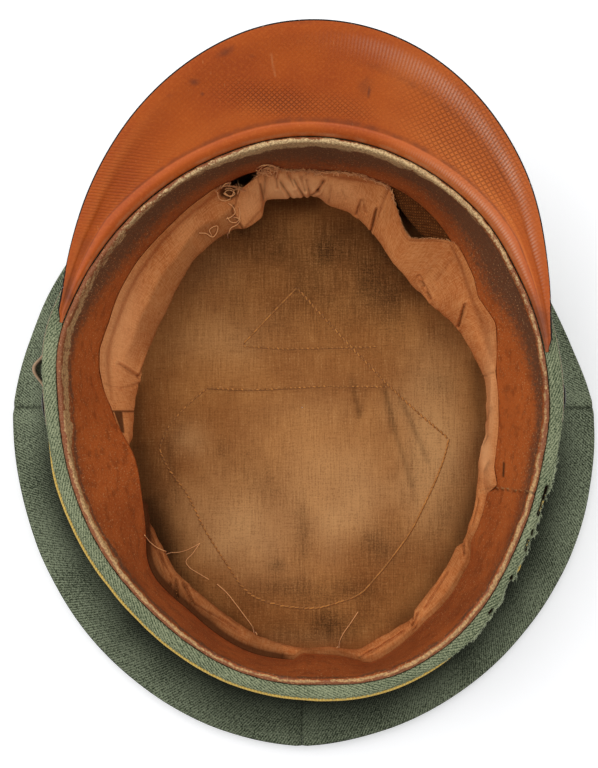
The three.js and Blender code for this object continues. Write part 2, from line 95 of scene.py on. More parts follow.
LINING_FOLD = np.array([
    (0, 0.753), (8, 0.753), (15, 0.727), (25, 0.7), (35, 0.656), (45, 0.639), (55, 0.651), (60, 0.672),
    (66, 0.706), (75, 0.748), (82, 0.753), (86, 0.785), (95, 0.774), (101.8, 0.787), (102.4, 0.726),
    (104, 0.722), (108, 0.706), (110, 0.704), (112, 0.718), (118, 0.717), (130, 0.703), (138, 0.679),
    (145, 0.665), (155, 0.66), (168, 0.672), (178, 0.685), (183, 0.69), (187, 0.696), (192, 0.706),
    (206, 0.735), (212, 0.748), (218, 0.753), (222, 0.766), (225, 0.776), (230, 0.791), (236, 0.792),
    (243, 0.801), (250, 0.82), (257, 0.846), (264, 0.868), (277, 0.876), (282, 0.898), (285, 0.914),
    (289, 0.898), (298, 0.887), (300, 0.893), (302, 0.866), (305.6, 0.85), (312, 0.832), (317.4, 0.816),
    (321.4, 0.803), (323.5, 0.818), (327, 0.803), (335.4, 0.78), (338.6, 0.763), (345, 0.745),
    (350, 0.741), (355, 0.757),
])


# Numbers and shapes

def mixed(a, b, share):
    return a + (b - a) * share


def eased(first, last, x):
    share = np.clip((x - first) / (last - first), 0, 1)
    return share * share * (3 - 2 * share)


def bent(a, b, slope_a, slope_b, span, u):
    """A smooth curve from a to b with slopes at its ends, a share u of the way along."""
    r = 1 - u
    ends = a * r * r * (1 + 2 * u) + b * u * u * (3 - 2 * u)
    return ends + slope_a * span * u * r * r - slope_b * span * u * u * r


def unit(vector):
    return vector / np.linalg.norm(vector)


def periodic(turns, values):
    """A smooth function of the turn through these readings, closed all the way round."""
    t = np.concatenate([turns - 360, turns, turns + 360]).astype(float)
    v = np.tile(values, 3)
    slope = np.zeros_like(v)
    slope[1:-1] = (v[2:] - v[:-2]) / (t[2:] - t[:-2])

    def at(turn):
        x = np.mod(turn, 360)
        i = np.searchsorted(t, x, side="right") - 1
        span = t[i + 1] - t[i]
        return bent(v[i], v[i + 1], slope[i], slope[i + 1], span, (x - t[i]) / span)

    return at


rim_out, crown_out, leather_in = (
    periodic(ROUND[:, 0], ROUND[:, COLUMNS.index(name)]) for name in COLUMNS[1:]
)


def near(off, width):
    """1 on a line and falling off smoothly beside it."""
    return np.exp(-(off / width) ** 2)


def by_turn(table, turn, column=1):
    """A column of a table of readings round the cap, at turn angles."""
    return periodic(table[:, 0], table[:, column])(turn)


PARTS = {
    # turns where a part of the way round begins, is full, begins to fade and ends
    "worn_strip": (312, 320, 346, 358), "under_peak": (12, 16, 158, 162),
    "back_left": (236, 262, 267.5, 270.5), "tucked": (180.5, 183, 337, 341),
    "hidden": (188, 192, 205, 210), "raw_edge": (60, 66, 104, 108), "left_shade": (120, 128, 154, 172),
    "corner_shade": (110.5, 112, 122, 130), "rear_shade": (200, 208, 318, 334),
}

PLACES = {
    # turn of a place and how far it spreads
    "wide_strip": (310, 9), "bared_cord": (326.5, 2.2), "slack_leather": (106, 8),
    "sweat_middle": (88, 15), "front": (85, 45), "rubbed_front": (98, 75),
}


def between(turn, part):
    """1 along a part of the way round and 0 elsewhere."""
    first, full, fading, last = PARTS[part]
    return eased(first, full, turn) * (1 - eased(fading, last, turn))


def beside(turn, name):
    """1 at a place and falling off smoothly beside it."""
    middle, spread = PLACES[name]
    return near(turn - middle, spread)


def all_round(piece):
    return np.linspace(0, 360, TURNS[piece], endpoint=False)


def rim_up(turn):
    return RIM["height"] + RIM["rise"] * RIM["half_length"] * np.sin(np.radians(turn))


def oval_reach(turn):
    a = np.radians(turn)
    return np.hypot(RIM["half_width"] * np.cos(a), RIM["half_length"] * np.sin(a))


def place(turn, out, up):
    """Points so far outside the plain oval and so far up, at turn angles."""
    a = np.radians(turn)
    scale = 1 + out / oval_reach(turn)
    x = RIM["half_width"] * np.cos(a) * scale
    y = RIM["y"] + RIM["half_length"] * np.sin(a) * scale
    return np.stack(np.broadcast_arrays(x, y, up), -1)


def clear_of_strip(turn):
    t = np.mod(turn, 360)
    rise = eased(BACK["first"], BACK["first"] + BACK["blend"], t)
    return rise * (1 - eased(BACK["last"] - BACK["blend"], BACK["last"], t))


def seen(points):
    """Where points show in the photograph's frame, in pixels."""
    scale = VIEW["focal"] / (VIEW["height"] - points[..., 2])
    x = VIEW["middle"][0] + (points[..., 0] - VIEW["x"]) * scale
    y = VIEW["middle"][1] - (points[..., 1] - VIEW["y"]) * scale
    return x, y


def under_pixel(x, y, up):
    """The point at a height that shows at a pixel."""
    scale = (VIEW["height"] - up) / VIEW["focal"]
    return np.stack(np.broadcast_arrays(
        VIEW["x"] + (x - VIEW["middle"][0]) * scale,
        VIEW["y"] + (VIEW["middle"][1] - y) * scale,
        up,
    ), -1)


def lattice(i, j, k, seed):
    h = (i * 73856093) ^ (j * 19349663) ^ (k * 83492791) ^ (seed * 40503)
    h = h & 0xFFFFFFFF
    h = ((h ^ (h >> 13)) * 1274126177) & 0xFFFFFFFF
    h = h ^ (h >> 16)
    return h / 0x7FFFFFFF - 1


def noise(points, size, seed=0):
    """Smooth noise from -1 to 1 with lumps of a size."""
    q = points / size
    base = np.floor(q).astype(np.int64)
    f = q - base
    f = f * f * (3 - 2 * f)
    total = 0
    for corner in range(8):
        bits = [(corner >> axis) & 1 for axis in range(3)]
        weight = 1
        for axis, bit in enumerate(bits):
            weight = weight * (f[..., axis] if bit else 1 - f[..., axis])
        total = total + weight * lattice(*(base[..., a] + bits[a] for a in range(3)), seed)
    return total


def to_segment(x, y, x0, y0, x1, y1):
    """Distance from pixels to a straight line between two pixels, and the share of the way along it."""
    dx, dy = x1 - x0, y1 - y0
    share = np.clip(((x - x0) * dx + (y - y0) * dy) / (dx * dx + dy * dy), 0, 1)
    return np.hypot(x - x0 - share * dx, y - y0 - share * dy), share


def spot(x, y, cx, cy, wide, tall, lean=0.0):
    """A soft oval patch round a pixel, 1 in its middle."""
    a = math.radians(lean)
    u = ((x - cx) * math.cos(a) + (y - cy) * math.sin(a)) / wide
    v = (-(x - cx) * math.sin(a) + (y - cy) * math.cos(a)) / tall
    return np.exp(-(u * u + v * v))


def spots(x, y, table, found, join=np.maximum):
    """Soft patches of a table, joined to what is found so far."""
    for cx, cy, wide, tall, lean, strength in table:
        found = join(found, strength * spot(x, y, cx, cy, wide, tall, lean))
    return found


def strokes(x, y, table, found, join=np.maximum):
    """Soft straight strokes of a table, joined to what is found so far."""
    for x0, y0, x1, y1, wide, strength in table:
        off, _ = to_segment(x, y, x0, y0, x1, y1)
        found = join(found, strength * near(off, wide))
    return found


def filled(controls, counts):
    """Smooth profiles through control points. Controls are pairs of out and up for all turns."""
    out = np.stack(np.broadcast_arrays(*[c[0] for c in controls]), -1).astype(float)
    up = np.stack(np.broadcast_arrays(*[c[1] for c in controls]), -1).astype(float)
    step = np.hypot(np.diff(out, axis=-1), np.diff(up, axis=-1)).mean(axis=0)
    at = np.concatenate([[0], np.cumsum(np.maximum(step, 1e-6))])
    found = []
    for values in (out, up):
        slope = np.empty_like(values)
        slope[:, 1:-1] = (values[:, 2:] - values[:, :-2]) / (at[2:] - at[:-2])
        slope[:, 0] = (values[:, 1] - values[:, 0]) / (at[1] - at[0])
        slope[:, -1] = (values[:, -1] - values[:, -2]) / (at[-1] - at[-2])
        parts = []
        for i, count in enumerate(counts):
            a, b = values[:, i, None], values[:, i + 1, None]
            slope_a, slope_b = slope[:, i, None], slope[:, i + 1, None]
            parts.append(bent(a, b, slope_a, slope_b, at[i + 1] - at[i], np.arange(count) / count))
        parts.append(values[:, -1:])
        found.append(np.concatenate(parts, axis=1))
    return found


def other_face(out, up, thick):
    """The other face of a wall: profile points moved to the right of the way they run."""
    d_out, d_up = np.gradient(out, axis=1), np.gradient(up, axis=1)
    length = np.maximum(np.hypot(d_out, d_up), 1e-9)
    return out + thick * d_up / length, up - thick * d_out / length


def normals(points):
    """Unit normals of a grid of points, upwards on the whole."""
    along = np.gradient(points, axis=0)
    across = np.gradient(points, axis=1)
    n = np.cross(along, across)
    n = n / np.maximum(np.linalg.norm(n, axis=-1, keepdims=True), 1e-12)
    return -n if n[..., 2].mean() < 0 else n


# Meshes

def finished(mesh, marks):
    """A mesh with its marks, shaded smooth and with its faces turned outwards."""
    for mark, values in marks.items():
        attribute = mesh.attributes.new(mark, "FLOAT", "POINT")
        attribute.data.foreach_set("value", np.ascontiguousarray(values, np.float32).reshape(-1))
    mesh.polygons.foreach_set("use_smooth", np.ones(len(mesh.polygons), bool))
    shape = bmesh.new()
    shape.from_mesh(mesh)
    bmesh.ops.recalc_face_normals(shape, faces=shape.faces)
    shape.to_mesh(mesh)
    shape.free()
    mesh.update()
    return mesh


def mesh_from(name, points, faces, uv, marks):
    mesh = bpy.data.meshes.new(name)
    mesh.from_pydata((points.reshape(-1, 3) * MM).tolist(), [], faces.tolist())
    layer = mesh.uv_layers.new(name="UVMap")
    layer.data.foreach_set("uv", (uv.reshape(-1) * MM).astype(np.float32))
    return finished(mesh, marks or {})


def with_back(marks, back):
    """Marks of a face, with none on its back."""
    blank = np.zeros(back.shape[:2])
    return {name: np.concatenate([mark, blank], 1) for name, mark in marks.items()}


def grid_faces(rows, columns, closed_rows, closed_columns):
    i = np.arange(rows if closed_rows else rows - 1)[:, None]
    j = np.arange(columns if closed_columns else columns - 1)[None, :]
    ii, jj = (i + 1) % rows, (j + 1) % columns
    corners = [i * columns + j, ii * columns + j, ii * columns + jj, i * columns + jj]
    return np.stack(np.broadcast_arrays(*corners), -1).reshape(-1, 4)


def grid_uv(points, closed_rows, closed_columns, reference):
    """Length along the grid in millimetres: along one row of points, and across from the first point."""
    if closed_rows:
        points = np.concatenate([points, points[:1]], 0)
    if closed_columns:
        points = np.concatenate([points, points[:, :1]], 1)
    along = np.linalg.norm(np.diff(points[:, reference], axis=0), axis=-1)
    u = np.concatenate([[0], np.cumsum(along)])
    across = np.linalg.norm(np.diff(points, axis=1), axis=-1)
    v = np.concatenate([np.zeros((len(points), 1)), np.cumsum(across, axis=1)], 1)
    u = np.broadcast_to(u[:, None], v.shape)
    at = np.stack([u, v], -1)
    corners = [at[:-1, :-1], at[1:, :-1], at[1:, 1:], at[:-1, 1:]]
    return np.stack(corners, 2).reshape(-1, 2)


def shell(name, points, closed_rows, marks=None, reference=0):
    """Closed wall from a grid: a row for each turn, each row a closed loop of face and back."""
    rows, columns = points.shape[:2]
    faces = grid_faces(rows, columns, closed_rows, True)
    uv = grid_uv(points, closed_rows, True, reference)
    if not closed_rows:
        j = np.arange(columns // 2 - 1)
        first = np.stack([j, j + 1, columns - 2 - j, columns - 1 - j], -1)
        last = first + (rows - 1) * columns
        faces = np.concatenate([faces, first, last])
        uv = np.concatenate([uv, np.zeros((8 * len(j), 2))])
    return mesh_from(name, points, faces, uv, marks)


def add(name, mesh, finishes, nodes=()):
    obj = bpy.data.objects.new(name, mesh)
    bpy.context.scene.collection.objects.link(obj)
    for finish in finishes:
        mesh.materials.append(finish)
    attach(obj, "root")
    if nodes:
        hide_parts(*nodes)
    return obj


class Bundle:
    """Many thin strands gathered into one mesh."""

    def __init__(self):
        self.points, self.faces, self.tones, self.count = [], [], [], 0

    def strand(self, path, radius, sides=5, taper=0.0, tone=0.5):
        path = np.asarray(path, float)
        along = np.gradient(path, axis=0)
        along /= np.maximum(np.linalg.norm(along, axis=1, keepdims=True), 1e-9)
        helper = np.where(np.abs(along[:, 2:]) > 0.9, [[1.0, 0, 0]], [[0, 0, 1.0]])
        side = np.cross(along, helper)
        side /= np.linalg.norm(side, axis=1, keepdims=True)
        top = np.cross(side, along)
        share = np.linspace(0, 1, len(path))
        size = radius * (1 - taper * share)
        angle = 2 * np.pi * np.arange(sides) / sides
        ring = np.cos(angle)[None, :, None] * side[:, None] + np.sin(angle)[None, :, None] * top[:, None]
        points = path[:, None] + size[:, None, None] * ring
        faces = grid_faces(len(path), sides, False, True)
        first = np.arange(sides)
        last = first + (len(path) - 1) * sides
        caps = [(end[0], end[k], end[k + 1]) for end in (first, last) for k in range(1, sides - 1)]
        self.points.append(points.reshape(-1, 3))
        self.faces += [tuple(int(c) + self.count for c in f) for f in [*faces, *caps]]
        self.tones.append(np.full(len(points) * sides, tone))
        self.count += len(points) * sides

    def mesh(self, name):
        mesh = bpy.data.meshes.new(name)
        mesh.from_pydata((np.concatenate(self.points) * MM).tolist(), [], self.faces)
        return finished(mesh, {"tone": np.concatenate(self.tones)})


# Finishes

def linear(colour):
    """A colour written as six hex digits, as linear light."""
    parts = [int(colour[i:i + 2], 16) / 255 for i in (0, 2, 4)]
    return tuple(c / 12.92 if c <= 0.04045 else ((c + 0.055) / 1.055) ** 2.4 for c in parts) + (1.0,)


class Finish:
    """A material drawn by nodes on its Principled shader."""

    def __init__(self, name, **sockets):
        self.material = bpy.data.materials.new(name)
        self.material.use_nodes = True
        self.tree = self.material.node_tree
        self.shader = self.tree.nodes["Principled BSDF"]
        for socket, value in sockets.items():
            self.shader.inputs[socket.replace("_", " ")].default_value = value

    def node(self, kind, *values, **settings):
        made = self.tree.nodes.new(kind)
        for setting, value in settings.items():
            setattr(made, setting, value)
        for i, value in enumerate(values):
            self.feed(made.inputs[i], value)
        return made

    def feed(self, socket, value):
        if value is None:
            return
        if isinstance(value, bpy.types.NodeSocket):
            self.tree.links.new(value, socket)
        elif isinstance(value, str):
            socket.default_value = linear(value)
        else:
            socket.default_value = value

    def uv(self):
        return self.node("ShaderNodeUVMap", uv_map="UVMap").outputs[0]

    def mark(self, name):
        return self.node("ShaderNodeAttribute", attribute_name=name).outputs["Fac"]

    def stretched(self, vector, scale):
        return self.node("ShaderNodeVectorMath", vector, scale, operation="MULTIPLY").outputs[0]

    def noise(self, vector, scale, detail=2.0, rough=0.5):
        made = self.node("ShaderNodeTexNoise")
        self.feed(made.inputs["Vector"], vector)
        made.inputs["Scale"].default_value = scale
        made.inputs["Detail"].default_value = detail
        made.inputs["Roughness"].default_value = rough
        return made.outputs["Fac"]

    def math(self, operation, a, b=None, c=None):
        return self.node("ShaderNodeMath", a, b, c, operation=operation).outputs[0]

    def times(self, a, b):
        return self.math("MULTIPLY", a, b)

    def scaled(self, value, scale, offset):
        return self.math("MULTIPLY_ADD", value, scale, offset)

    def most(self, a, b):
        return self.math("MAXIMUM", a, b)

    def swing(self, value):
        """A noise as a swing either way of nothing."""
        return self.math("SUBTRACT", value, 0.5)

    def ribs(self, vector, lean, pitch, wobble=None, amount=0.0):
        """Even ridges from 0 to 1, at a lean in degrees and a pitch in metres."""
        a = math.radians(lean)
        step = (2 * math.pi * math.cos(a) / pitch, 2 * math.pi * math.sin(a) / pitch, 0)
        phase = self.node("ShaderNodeVectorMath", vector, step, operation="DOT_PRODUCT").outputs["Value"]
        if wobble is not None:
            phase = self.scaled(wobble, amount, phase)
        return self.scaled(self.math("SINE", phase), 0.5, 0.5)

    def band(self, value, low, high):
        """0 below low, 1 above high, smooth between."""
        made = self.node("ShaderNodeMapRange", value, low, high, 0.0, 1.0, interpolation_type="SMOOTHSTEP")
        return made.outputs[0]

    def mix(self, share, a, b, blend="MIX"):
        made = self.node("ShaderNodeMix", data_type="RGBA", blend_type=blend)
        self.feed(made.inputs[0], share)
        self.feed(made.inputs[6], a)
        self.feed(made.inputs[7], b)
        return made.outputs[2]


    def tint(self, base, colour, value, low, high, share):
        """A colour laid over a base where a value lies from low to high, at most so strong."""
        return self.mix(self.times(self.band(value, low, high), share), base, colour)

    def colour(self, value):
        self.feed(self.shader.inputs["Base Color"], value)

    def rough(self, value):
        self.feed(self.shader.inputs["Roughness"], value)

    def relief(self, height, distance, strength=1.0):
        bump = self.node("ShaderNodeBump")
        bump.inputs["Strength"].default_value = strength
        bump.inputs["Distance"].default_value = distance
        self.feed(bump.inputs["Height"], height)
        self.feed(self.shader.inputs["Normal"], bump.outputs[0])


def wool_finish(name, dark, light, shadow, lean, pitch, rib):
    f = Finish(name, Roughness=0.95, Specular_IOR_Level=0.1)
    uv = f.uv()
    slow = f.noise(uv, 160, 3.0)
    fibre = f.noise(uv, 1900, 3.0, 0.75)
    speck = f.noise(uv, 850, 2.0, 0.6)
    ribs = f.ribs(uv, lean, pitch, slow, 5.0)
    grain = f.scaled(ribs, rib, f.times(fibre, 1.4))
    grain = f.scaled(speck, 0.55, grain)
    patch = f.scaled(f.noise(uv, 40, 2.0), 0.3, grain)
    base = f.mix(f.band(patch, 0.89 + rib * 0.43, 1.36 + rib * 0.57), dark, light)
    f.colour(f.mix(f.mark("shade"), base, shadow))
    f.relief(grain, 0.0005, 0.9)
    return f.material


def piping_finish():
    f = Finish("yellow_cord", Roughness=0.85, Specular_IOR_Level=0.2)
    uv = f.uv()
    twist = f.ribs(uv, 30, 0.0011)
    fibre = f.noise(uv, 1800, 2.0)
    base = f.mix(fibre, "c39a3a", "f0d27a")
    f.colour(f.mix(f.times(twist, 0.3), base, "9a7430"))
    f.relief(twist, 0.0002)
    return f.material


def canvas_finish():
    f = Finish("stiff_canvas", Roughness=0.95, Specular_IOR_Level=0.1)
    uv = f.uv()
    weave = f.times(f.ribs(uv, 38, 0.0011), f.ribs(uv, -52, 0.0011))
    speck = f.noise(uv, 700, 3.0)
    base = f.mix(f.band(weave, 0.0, 0.8), "5a3216", "985a2a")
    f.colour(f.tint(base, "562a0c", speck, 0.4, 0.65, 0.75))
    f.relief(weave, 0.0005)
    return f.material


def leather_finish():
    f = Finish("sweatband_leather", Specular_IOR_Level=0.25)
    uv = f.uv()
    slow = f.noise(uv, 55, 3.0)
    wash = f.noise(uv, 190, 4.0, 0.6)
    fine = f.noise(uv, 1100, 3.0, 0.65)
    drag = f.noise(f.stretched(uv, (900.0, 260.0, 1.0)), 1.0, 3.0, 0.65)
    grit = f.noise(uv, 1500, 3.0, 0.7)
    blot = f.noise(uv, 420, 3.0, 0.6)
    base = f.mix(f.band(slow, 0.3, 0.7), "92431a", "ae5825")
    # painted light: lighter, warmer leather where the light falls on its sides, and a painted highlight
    # along its lower edge; painted shade at the back
    base = f.mix(f.mark("painted_light"), base, "d26c2c")
    base = f.mix(f.mark("painted_shade"), base, "5c2c14")
    base = f.tint(base, "cf7f44", fine, 0.45, 0.75, 0.55)
    base = f.tint(base, "652c11", wash, 0.52, 0.34, 0.4)
    base = f.mix(f.times(f.mark("roll"), 0.8), base, "6e4429")
    base = f.mix(f.times(f.mark("roll"), f.band(grit, 0.42, 0.62)), base, "966244")
    edge = f.scaled(f.swing(wash), 0.9, f.mark("dark"))
    edge = f.scaled(f.swing(drag), 1.2, edge)
    base = f.tint(base, "5a4030", edge, 0.15, 1.0, 0.88)
    scrape = f.band(f.noise(f.stretched(uv, (240.0, 2100.0, 1.0)), 1.0, 2.0), 0.58, 0.72)
    base = f.mix(f.times(scrape, f.times(f.mark("dark"), 0.6)), base, "86624a")
    rough = f.scaled(f.mark("front"), 1.4, 0.6)
    rub = f.scaled(f.swing(grit), rough, f.mark("pale"))
    rub = f.scaled(f.swing(blot), 1.6, rub)
    worn = f.mix(f.mark("front"), "c99e68", "e2c490")
    worn = f.tint(worn, "76563a", fine, 0.62, 0.38, 0.7)
    base = f.tint(base, worn, rub, 0.40, 0.74, 0.95)
    speck = f.band(f.noise(f.stretched(uv, (1.0, 0.45, 1.0)), 1500, 2.0), 0.59, 0.70)
    base = f.mix(f.times(speck, f.mark("scuff")), base, "dca873")
    f.colour(f.mix(f.mark("seam"), base, "38200f"))
    f.rough(f.scaled(fine, 0.25, 0.42))
    f.relief(f.scaled(grit, 0.5, fine), 0.0003, 0.7)
    return f.material


def cotton_finish():
    f = Finish("lining_cotton", Roughness=0.95, Specular_IOR_Level=0.08)
    uv = f.uv()
    slow = f.noise(uv, 70, 3.0)
    slub = f.noise(f.stretched(uv, (300.0, 1900.0, 1.0)), 1.0, 2.0)
    warp = f.noise(f.stretched(uv, (1900.0, 300.0, 1.0)), 1.0, 2.0)
    fine = f.noise(uv, 1600, 3.0, 0.7)
    grain = f.math("ADD", f.times(slub, 0.5), f.times(warp, 0.5))
    grain = f.scaled(fine, 0.5, grain)
    base = f.mix(f.band(slow, 0.3, 0.72), "ba6b36", "ce834a")
    base = f.tint(base, "e0a068", grain, 0.68, 0.90, 0.45)
    base = f.tint(base, "8e4c20", grain, 0.72, 0.58, 0.4)
    # painted light: lighter cotton on the raised flap, the lit gathers and the lit folds
    base = f.mix(f.mark("painted_highlight"), base, "f6b980")
    # painted shade in creases, beside the flap, inside the hole, under the leather's edge and in the tuck
    f.colour(f.mix(f.mark("stain_and_shade"), base, "3c1d0c"))
    f.relief(grain, 0.0004, 0.8)
    return f.material


def floor_finish():
    f = Finish("lining_floor_linen", Roughness=0.95, Specular_IOR_Level=0.08)
    uv = f.uv()
    warp = f.noise(f.stretched(uv, (1600.0, 90.0, 1.0)), 1.0, 3.0, 0.7)
    weft = f.noise(f.stretched(uv, (130.0, 1700.0, 1.0)), 1.0, 3.0, 0.7)
    fine = f.noise(uv, 1500, 3.0, 0.7)
    slow = f.noise(uv, 26, 4.0, 0.6)
    grain = f.scaled(weft, 0.42, f.times(warp, 0.62))
    grain = f.scaled(fine, 0.7, grain)
    base = f.mix(f.band(slow, 0.3, 0.7), "8e582c", "a9723e")
    base = f.mix(f.mark("bright"), base, "e2b67e")
    base = f.tint(base, "d2a168", grain, 0.90, 1.12, 0.42)
    base = f.tint(base, "63391a", grain, 0.90, 0.70, 0.42)
    streak = f.scaled(f.band(grain, 1.0, 0.76), 0.7, 0.5)
    # stains, with painted shade in the creases and under the folds of the wall
    base = f.mix(f.times(f.mark("stain_and_shade"), streak), base, "3c2816")
    base = f.mix(f.mark("rust"), base, "8e4a1e")
    f.colour(f.mix(f.mark("shade"), base, "1c0f06"))
    f.relief(grain, 0.0003, 0.7)
    return f.material


def lacquer_finish():
    f = Finish("peak_lacquer", Specular_IOR_Level=0.3, Coat_Weight=0.12, Coat_Roughness=0.3)
    uv = f.uv()
    slow = f.noise(uv, 38, 3.0)
    fine = f.noise(uv, 900, 3.0, 0.65)
    wobble = f.noise(uv, 120, 2.0)
    first = f.ribs(uv, 52, 0.00122, wobble, 4.0)
    second = f.ribs(uv, -50, 0.00122, wobble, 4.0)
    level = f.ribs(uv, 86, 0.00108, wobble, 4.0)
    steep = f.ribs(uv, 32, 0.00145, wobble, 3.0)
    shallow = f.ribs(uv, 112, 0.00150, wobble, 3.0)
    grid = f.most(f.band(first, 0.5, 1.0), f.band(second, 0.5, 1.0))
    grid = f.times(grid, f.mark("grid"))
    cross = f.most(f.band(steep, 0.45, 1.0), f.band(shallow, 0.45, 1.0))
    grid = f.most(grid, f.times(cross, f.mark("cross")))
    grid = f.most(grid, f.times(f.band(level, 0.4, 1.0), f.mark("lines")))
    base = f.mix(f.band(slow, 0.3, 0.72), "a8480f", "ba5612")
    base = f.tint(base, "cf6c26", fine, 0.45, 0.7, 0.3)
    # painted light on the lit parts of the peak, past the valley and along the bead
    base = f.mix(f.mark("glow"), base, "e8843c")
    base = f.mix(f.times(grid, 0.7), base, "6b2c0c")
    # painted highlights on the ribs of the bead and of the roll at the right
    painted_glints = f.math("SINE", f.times(f.mark("along"), 2 * math.pi / 1.3))
    painted_glints = f.times(f.scaled(painted_glints, 0.42, 0.58), f.mark("bead"))
    base = f.mix(painted_glints, base, "e4b49c")
    # rubbed lacquer near the rim, with a painted highlight along the roll's crest, strongest at the right
    worn = f.times(f.mark("rub"), f.scaled(fine, 0.8, 0.25))
    base = f.mix(worn, base, "c48a60")
    blur = f.swing(f.noise(uv, 260, 3.0))
    # smudges, with painted shade in the valley beside the roll and inside the bead
    smudge_and_shade = f.scaled(blur, 0.5, f.mark("smudge_and_shade"))
    base = f.tint(base, "5a3020", smudge_and_shade, 0.2, 0.95, 0.75)
    scratch = f.band(f.noise(f.stretched(uv, (1900.0, 300.0, 1.0)), 1.0, 1.0), 0.76, 0.82)
    base = f.mix(f.times(scratch, 0.4), base, "dc9a62")
    f.colour(f.mix(f.mark("scrape"), base, "d89a66"))
    f.rough(f.scaled(slow, 0.2, 0.4))
    f.relief(f.scaled(fine, 0.3, f.math("SUBTRACT", 1.0, grid)), 0.0003, 0.8)
    return f.material


def black_finish(name, worn):
    f = Finish(name, Specular_IOR_Level=0.2)
    uv = f.uv()
    fine = f.noise(uv, 900, 3.0, 0.6)
    chips = f.band(f.noise(uv, 260, 4.0, 0.75), 0.6, 0.66)
    base = f.mix(fine, "0e0b0a", "241d19")
    f.colour(f.mix(f.times(chips, worn), base, "b0a394"))
    f.rough(f.scaled(fine, 0.25, 0.45))
    f.relief(fine, 0.0002, 0.5)
    return f.material


def strap_finish():
    f = Finish("strap_leather", Specular_IOR_Level=0.45)
    uv = f.uv()
    fine = f.noise(uv, 1100, 3.0, 0.65)
    slow = f.noise(uv, 90, 3.0)
    face = f.mix(fine, "17120f", "302722")
    raw = f.mix(slow, "8a6446", "c8a880")
    f.colour(f.mix(f.mark("raw"), face, raw))
    f.rough(f.scaled(fine, 0.3, 0.35))
    f.relief(fine, 0.0003, 0.6)
    return f.material


def metal_finish():
    f = Finish("stud_metal", Metallic=0.85)
    uv = f.uv()
    slow = f.noise(uv, 600, 3.0)
    f.colour(f.mix(slow, "2b2a28", "55534e"))
    f.rough(f.scaled(slow, 0.3, 0.35))
    f.relief(slow, 0.0001, 0.4)
    return f.material


def thread_finish(name, dark, light):
    f = Finish(name, Roughness=0.9, Sheen_Weight=0.1)
    where = f.node("ShaderNodeTexCoord").outputs["Object"]
    ply = f.noise(where, 3500, 2.0)
    base = f.mix(f.mark("tone"), dark, light)
    f.colour(f.tint(base, light, ply, 0.4, 0.7, 0.3))
    f.relief(ply, 0.0001, 0.5)
    return f.material


crown_wool = wool_finish("crown_wool", "262e20", "a2ac8e", "0b0f08", 30, 0.00092, 0.18)
band_wool = wool_finish("band_wool", "3e4c35", "aab08c", "2a1d12", 120, 0.00100, 0.2)
leather = leather_finish()
cotton = cotton_finish()
linen = floor_finish()
lacquer = lacquer_finish()
black_edge = black_finish("peak_black", 0.5)


# Crown: four side panels and an oval top panel

SLACK = np.array([
    # turn, and how far the cloth bulges beyond the plain crown
    (0, 1.1), (20, 1.3), (60, 0.6), (120, 0.3), (165, 0.2), (190, 0.8), (240, 1.1), (265, 1.2),
    (290, 1.8), (335, 1.6),
])

CROWN_SHADE = np.array([
    # turn, how dark the crown is beside the strip, and how far that reaches in pixels
    (0, 0.3, 18), (8, 0.02, 18), (60, 0, 20), (140, 0.05, 16), (176, 0.4, 14), (190, 0.85, 28),
    (204, 0.97, 42), (216, 0.9, 42), (229, 1, 58), (241, 0.96, 56), (252, 1, 74), (264, 1, 70),
    (276, 1, 68), (290, 0.97, 58), (312, 1, 46), (324, 0.97, 44), (336, 0.95, 40), (348, 0.85, 34),
    (355, 0.55, 26),
])


def crown_panel(name, first, last):
    turn = np.linspace(first + 0.005, last - 0.005, TURNS["crown_panel"])[:, None]
    start = rim_out(turn) + BAND["face_out"] - GAP
    widest = crown_out(turn) + by_turn(SLACK, turn)
    share = np.linspace(0, 1, 48)[None, :]
    angle = share * np.pi / 2
    out = mixed(start, widest, mixed(share, 1 - np.cos(angle), CROWN["sag"]))
    down = mixed(share, np.sin(angle), CROWN["sag"])
    up = mixed(CROWN["band_seam_up"], CROWN["widest_up"], down) + 0 * turn
    under = [
        (widest[:, 0], np.full(len(turn), CROWN["widest_up"])),
        (widest[:, 0] - 0.8, np.full(len(turn), mixed(CROWN["widest_up"], CROWN["top_seam_up"], 0.6))),
        (widest[:, 0] - CROWN["top_seam_in"], np.full(len(turn), CROWN["top_seam_up"])),
    ]
    under_out, under_up = filled(under, (8, 6))
    out = np.concatenate([out, under_out[:, 1:]], 1)
    up = np.concatenate([up, under_up[:, 1:]], 1)
    back_out, back_up = other_face(out, up, CROWN["cloth"])
    face, back = place(turn, out, up), place(turn, back_out, back_up)
    to_seam = np.minimum(turn - first, last - turn) * np.pi / 180 * (oval_reach(turn) + widest)
    fade = np.sin(np.pi * np.linspace(0, 1, face.shape[1]))[None, :] ** 0.5
    swell = 0.6 * noise(face, 42, 3) + 0.25 * noise(face, 15, 4)
    across = np.cumsum(np.full(face.shape[1], 1.0))[None, :]
    pucker = 0.2 * np.sin(across * 0.8 + 3 * noise(face, 9, 8)) * near(to_seam, 4)
    seam = -0.2 * near(to_seam, 0.7) + 0.2 * near(to_seam - 2.4, 1.5)
    outward = normals(face)
    move = ((swell + pucker) * fade + seam)[..., None] * outward
    shade = 0.4 * near(to_seam, 0.35) + 0 * across
    x, y = seen(face)
    strip = place(turn, rim_out(turn) + 5.3 + BACK["strip_out"] * clear_of_strip(turn), rim_up(turn) - 2.3)
    strip_x, strip_y = seen(strip)
    off = np.hypot(x - strip_x, y - strip_y)
    deep, wide = (by_turn(CROWN_SHADE, turn, i) for i in (1, 2))
    shade = np.maximum(shade, deep * (1 - np.clip(off / wide, 0, 1)) ** 1.3)
    points = np.concatenate([face + move, (back + move)[:, ::-1]], 1)
    marks = with_back({"shade": shade}, back)
    obj = add(name + "_cloth", shell(name, points, False, marks, 30), [crown_wool], [name])


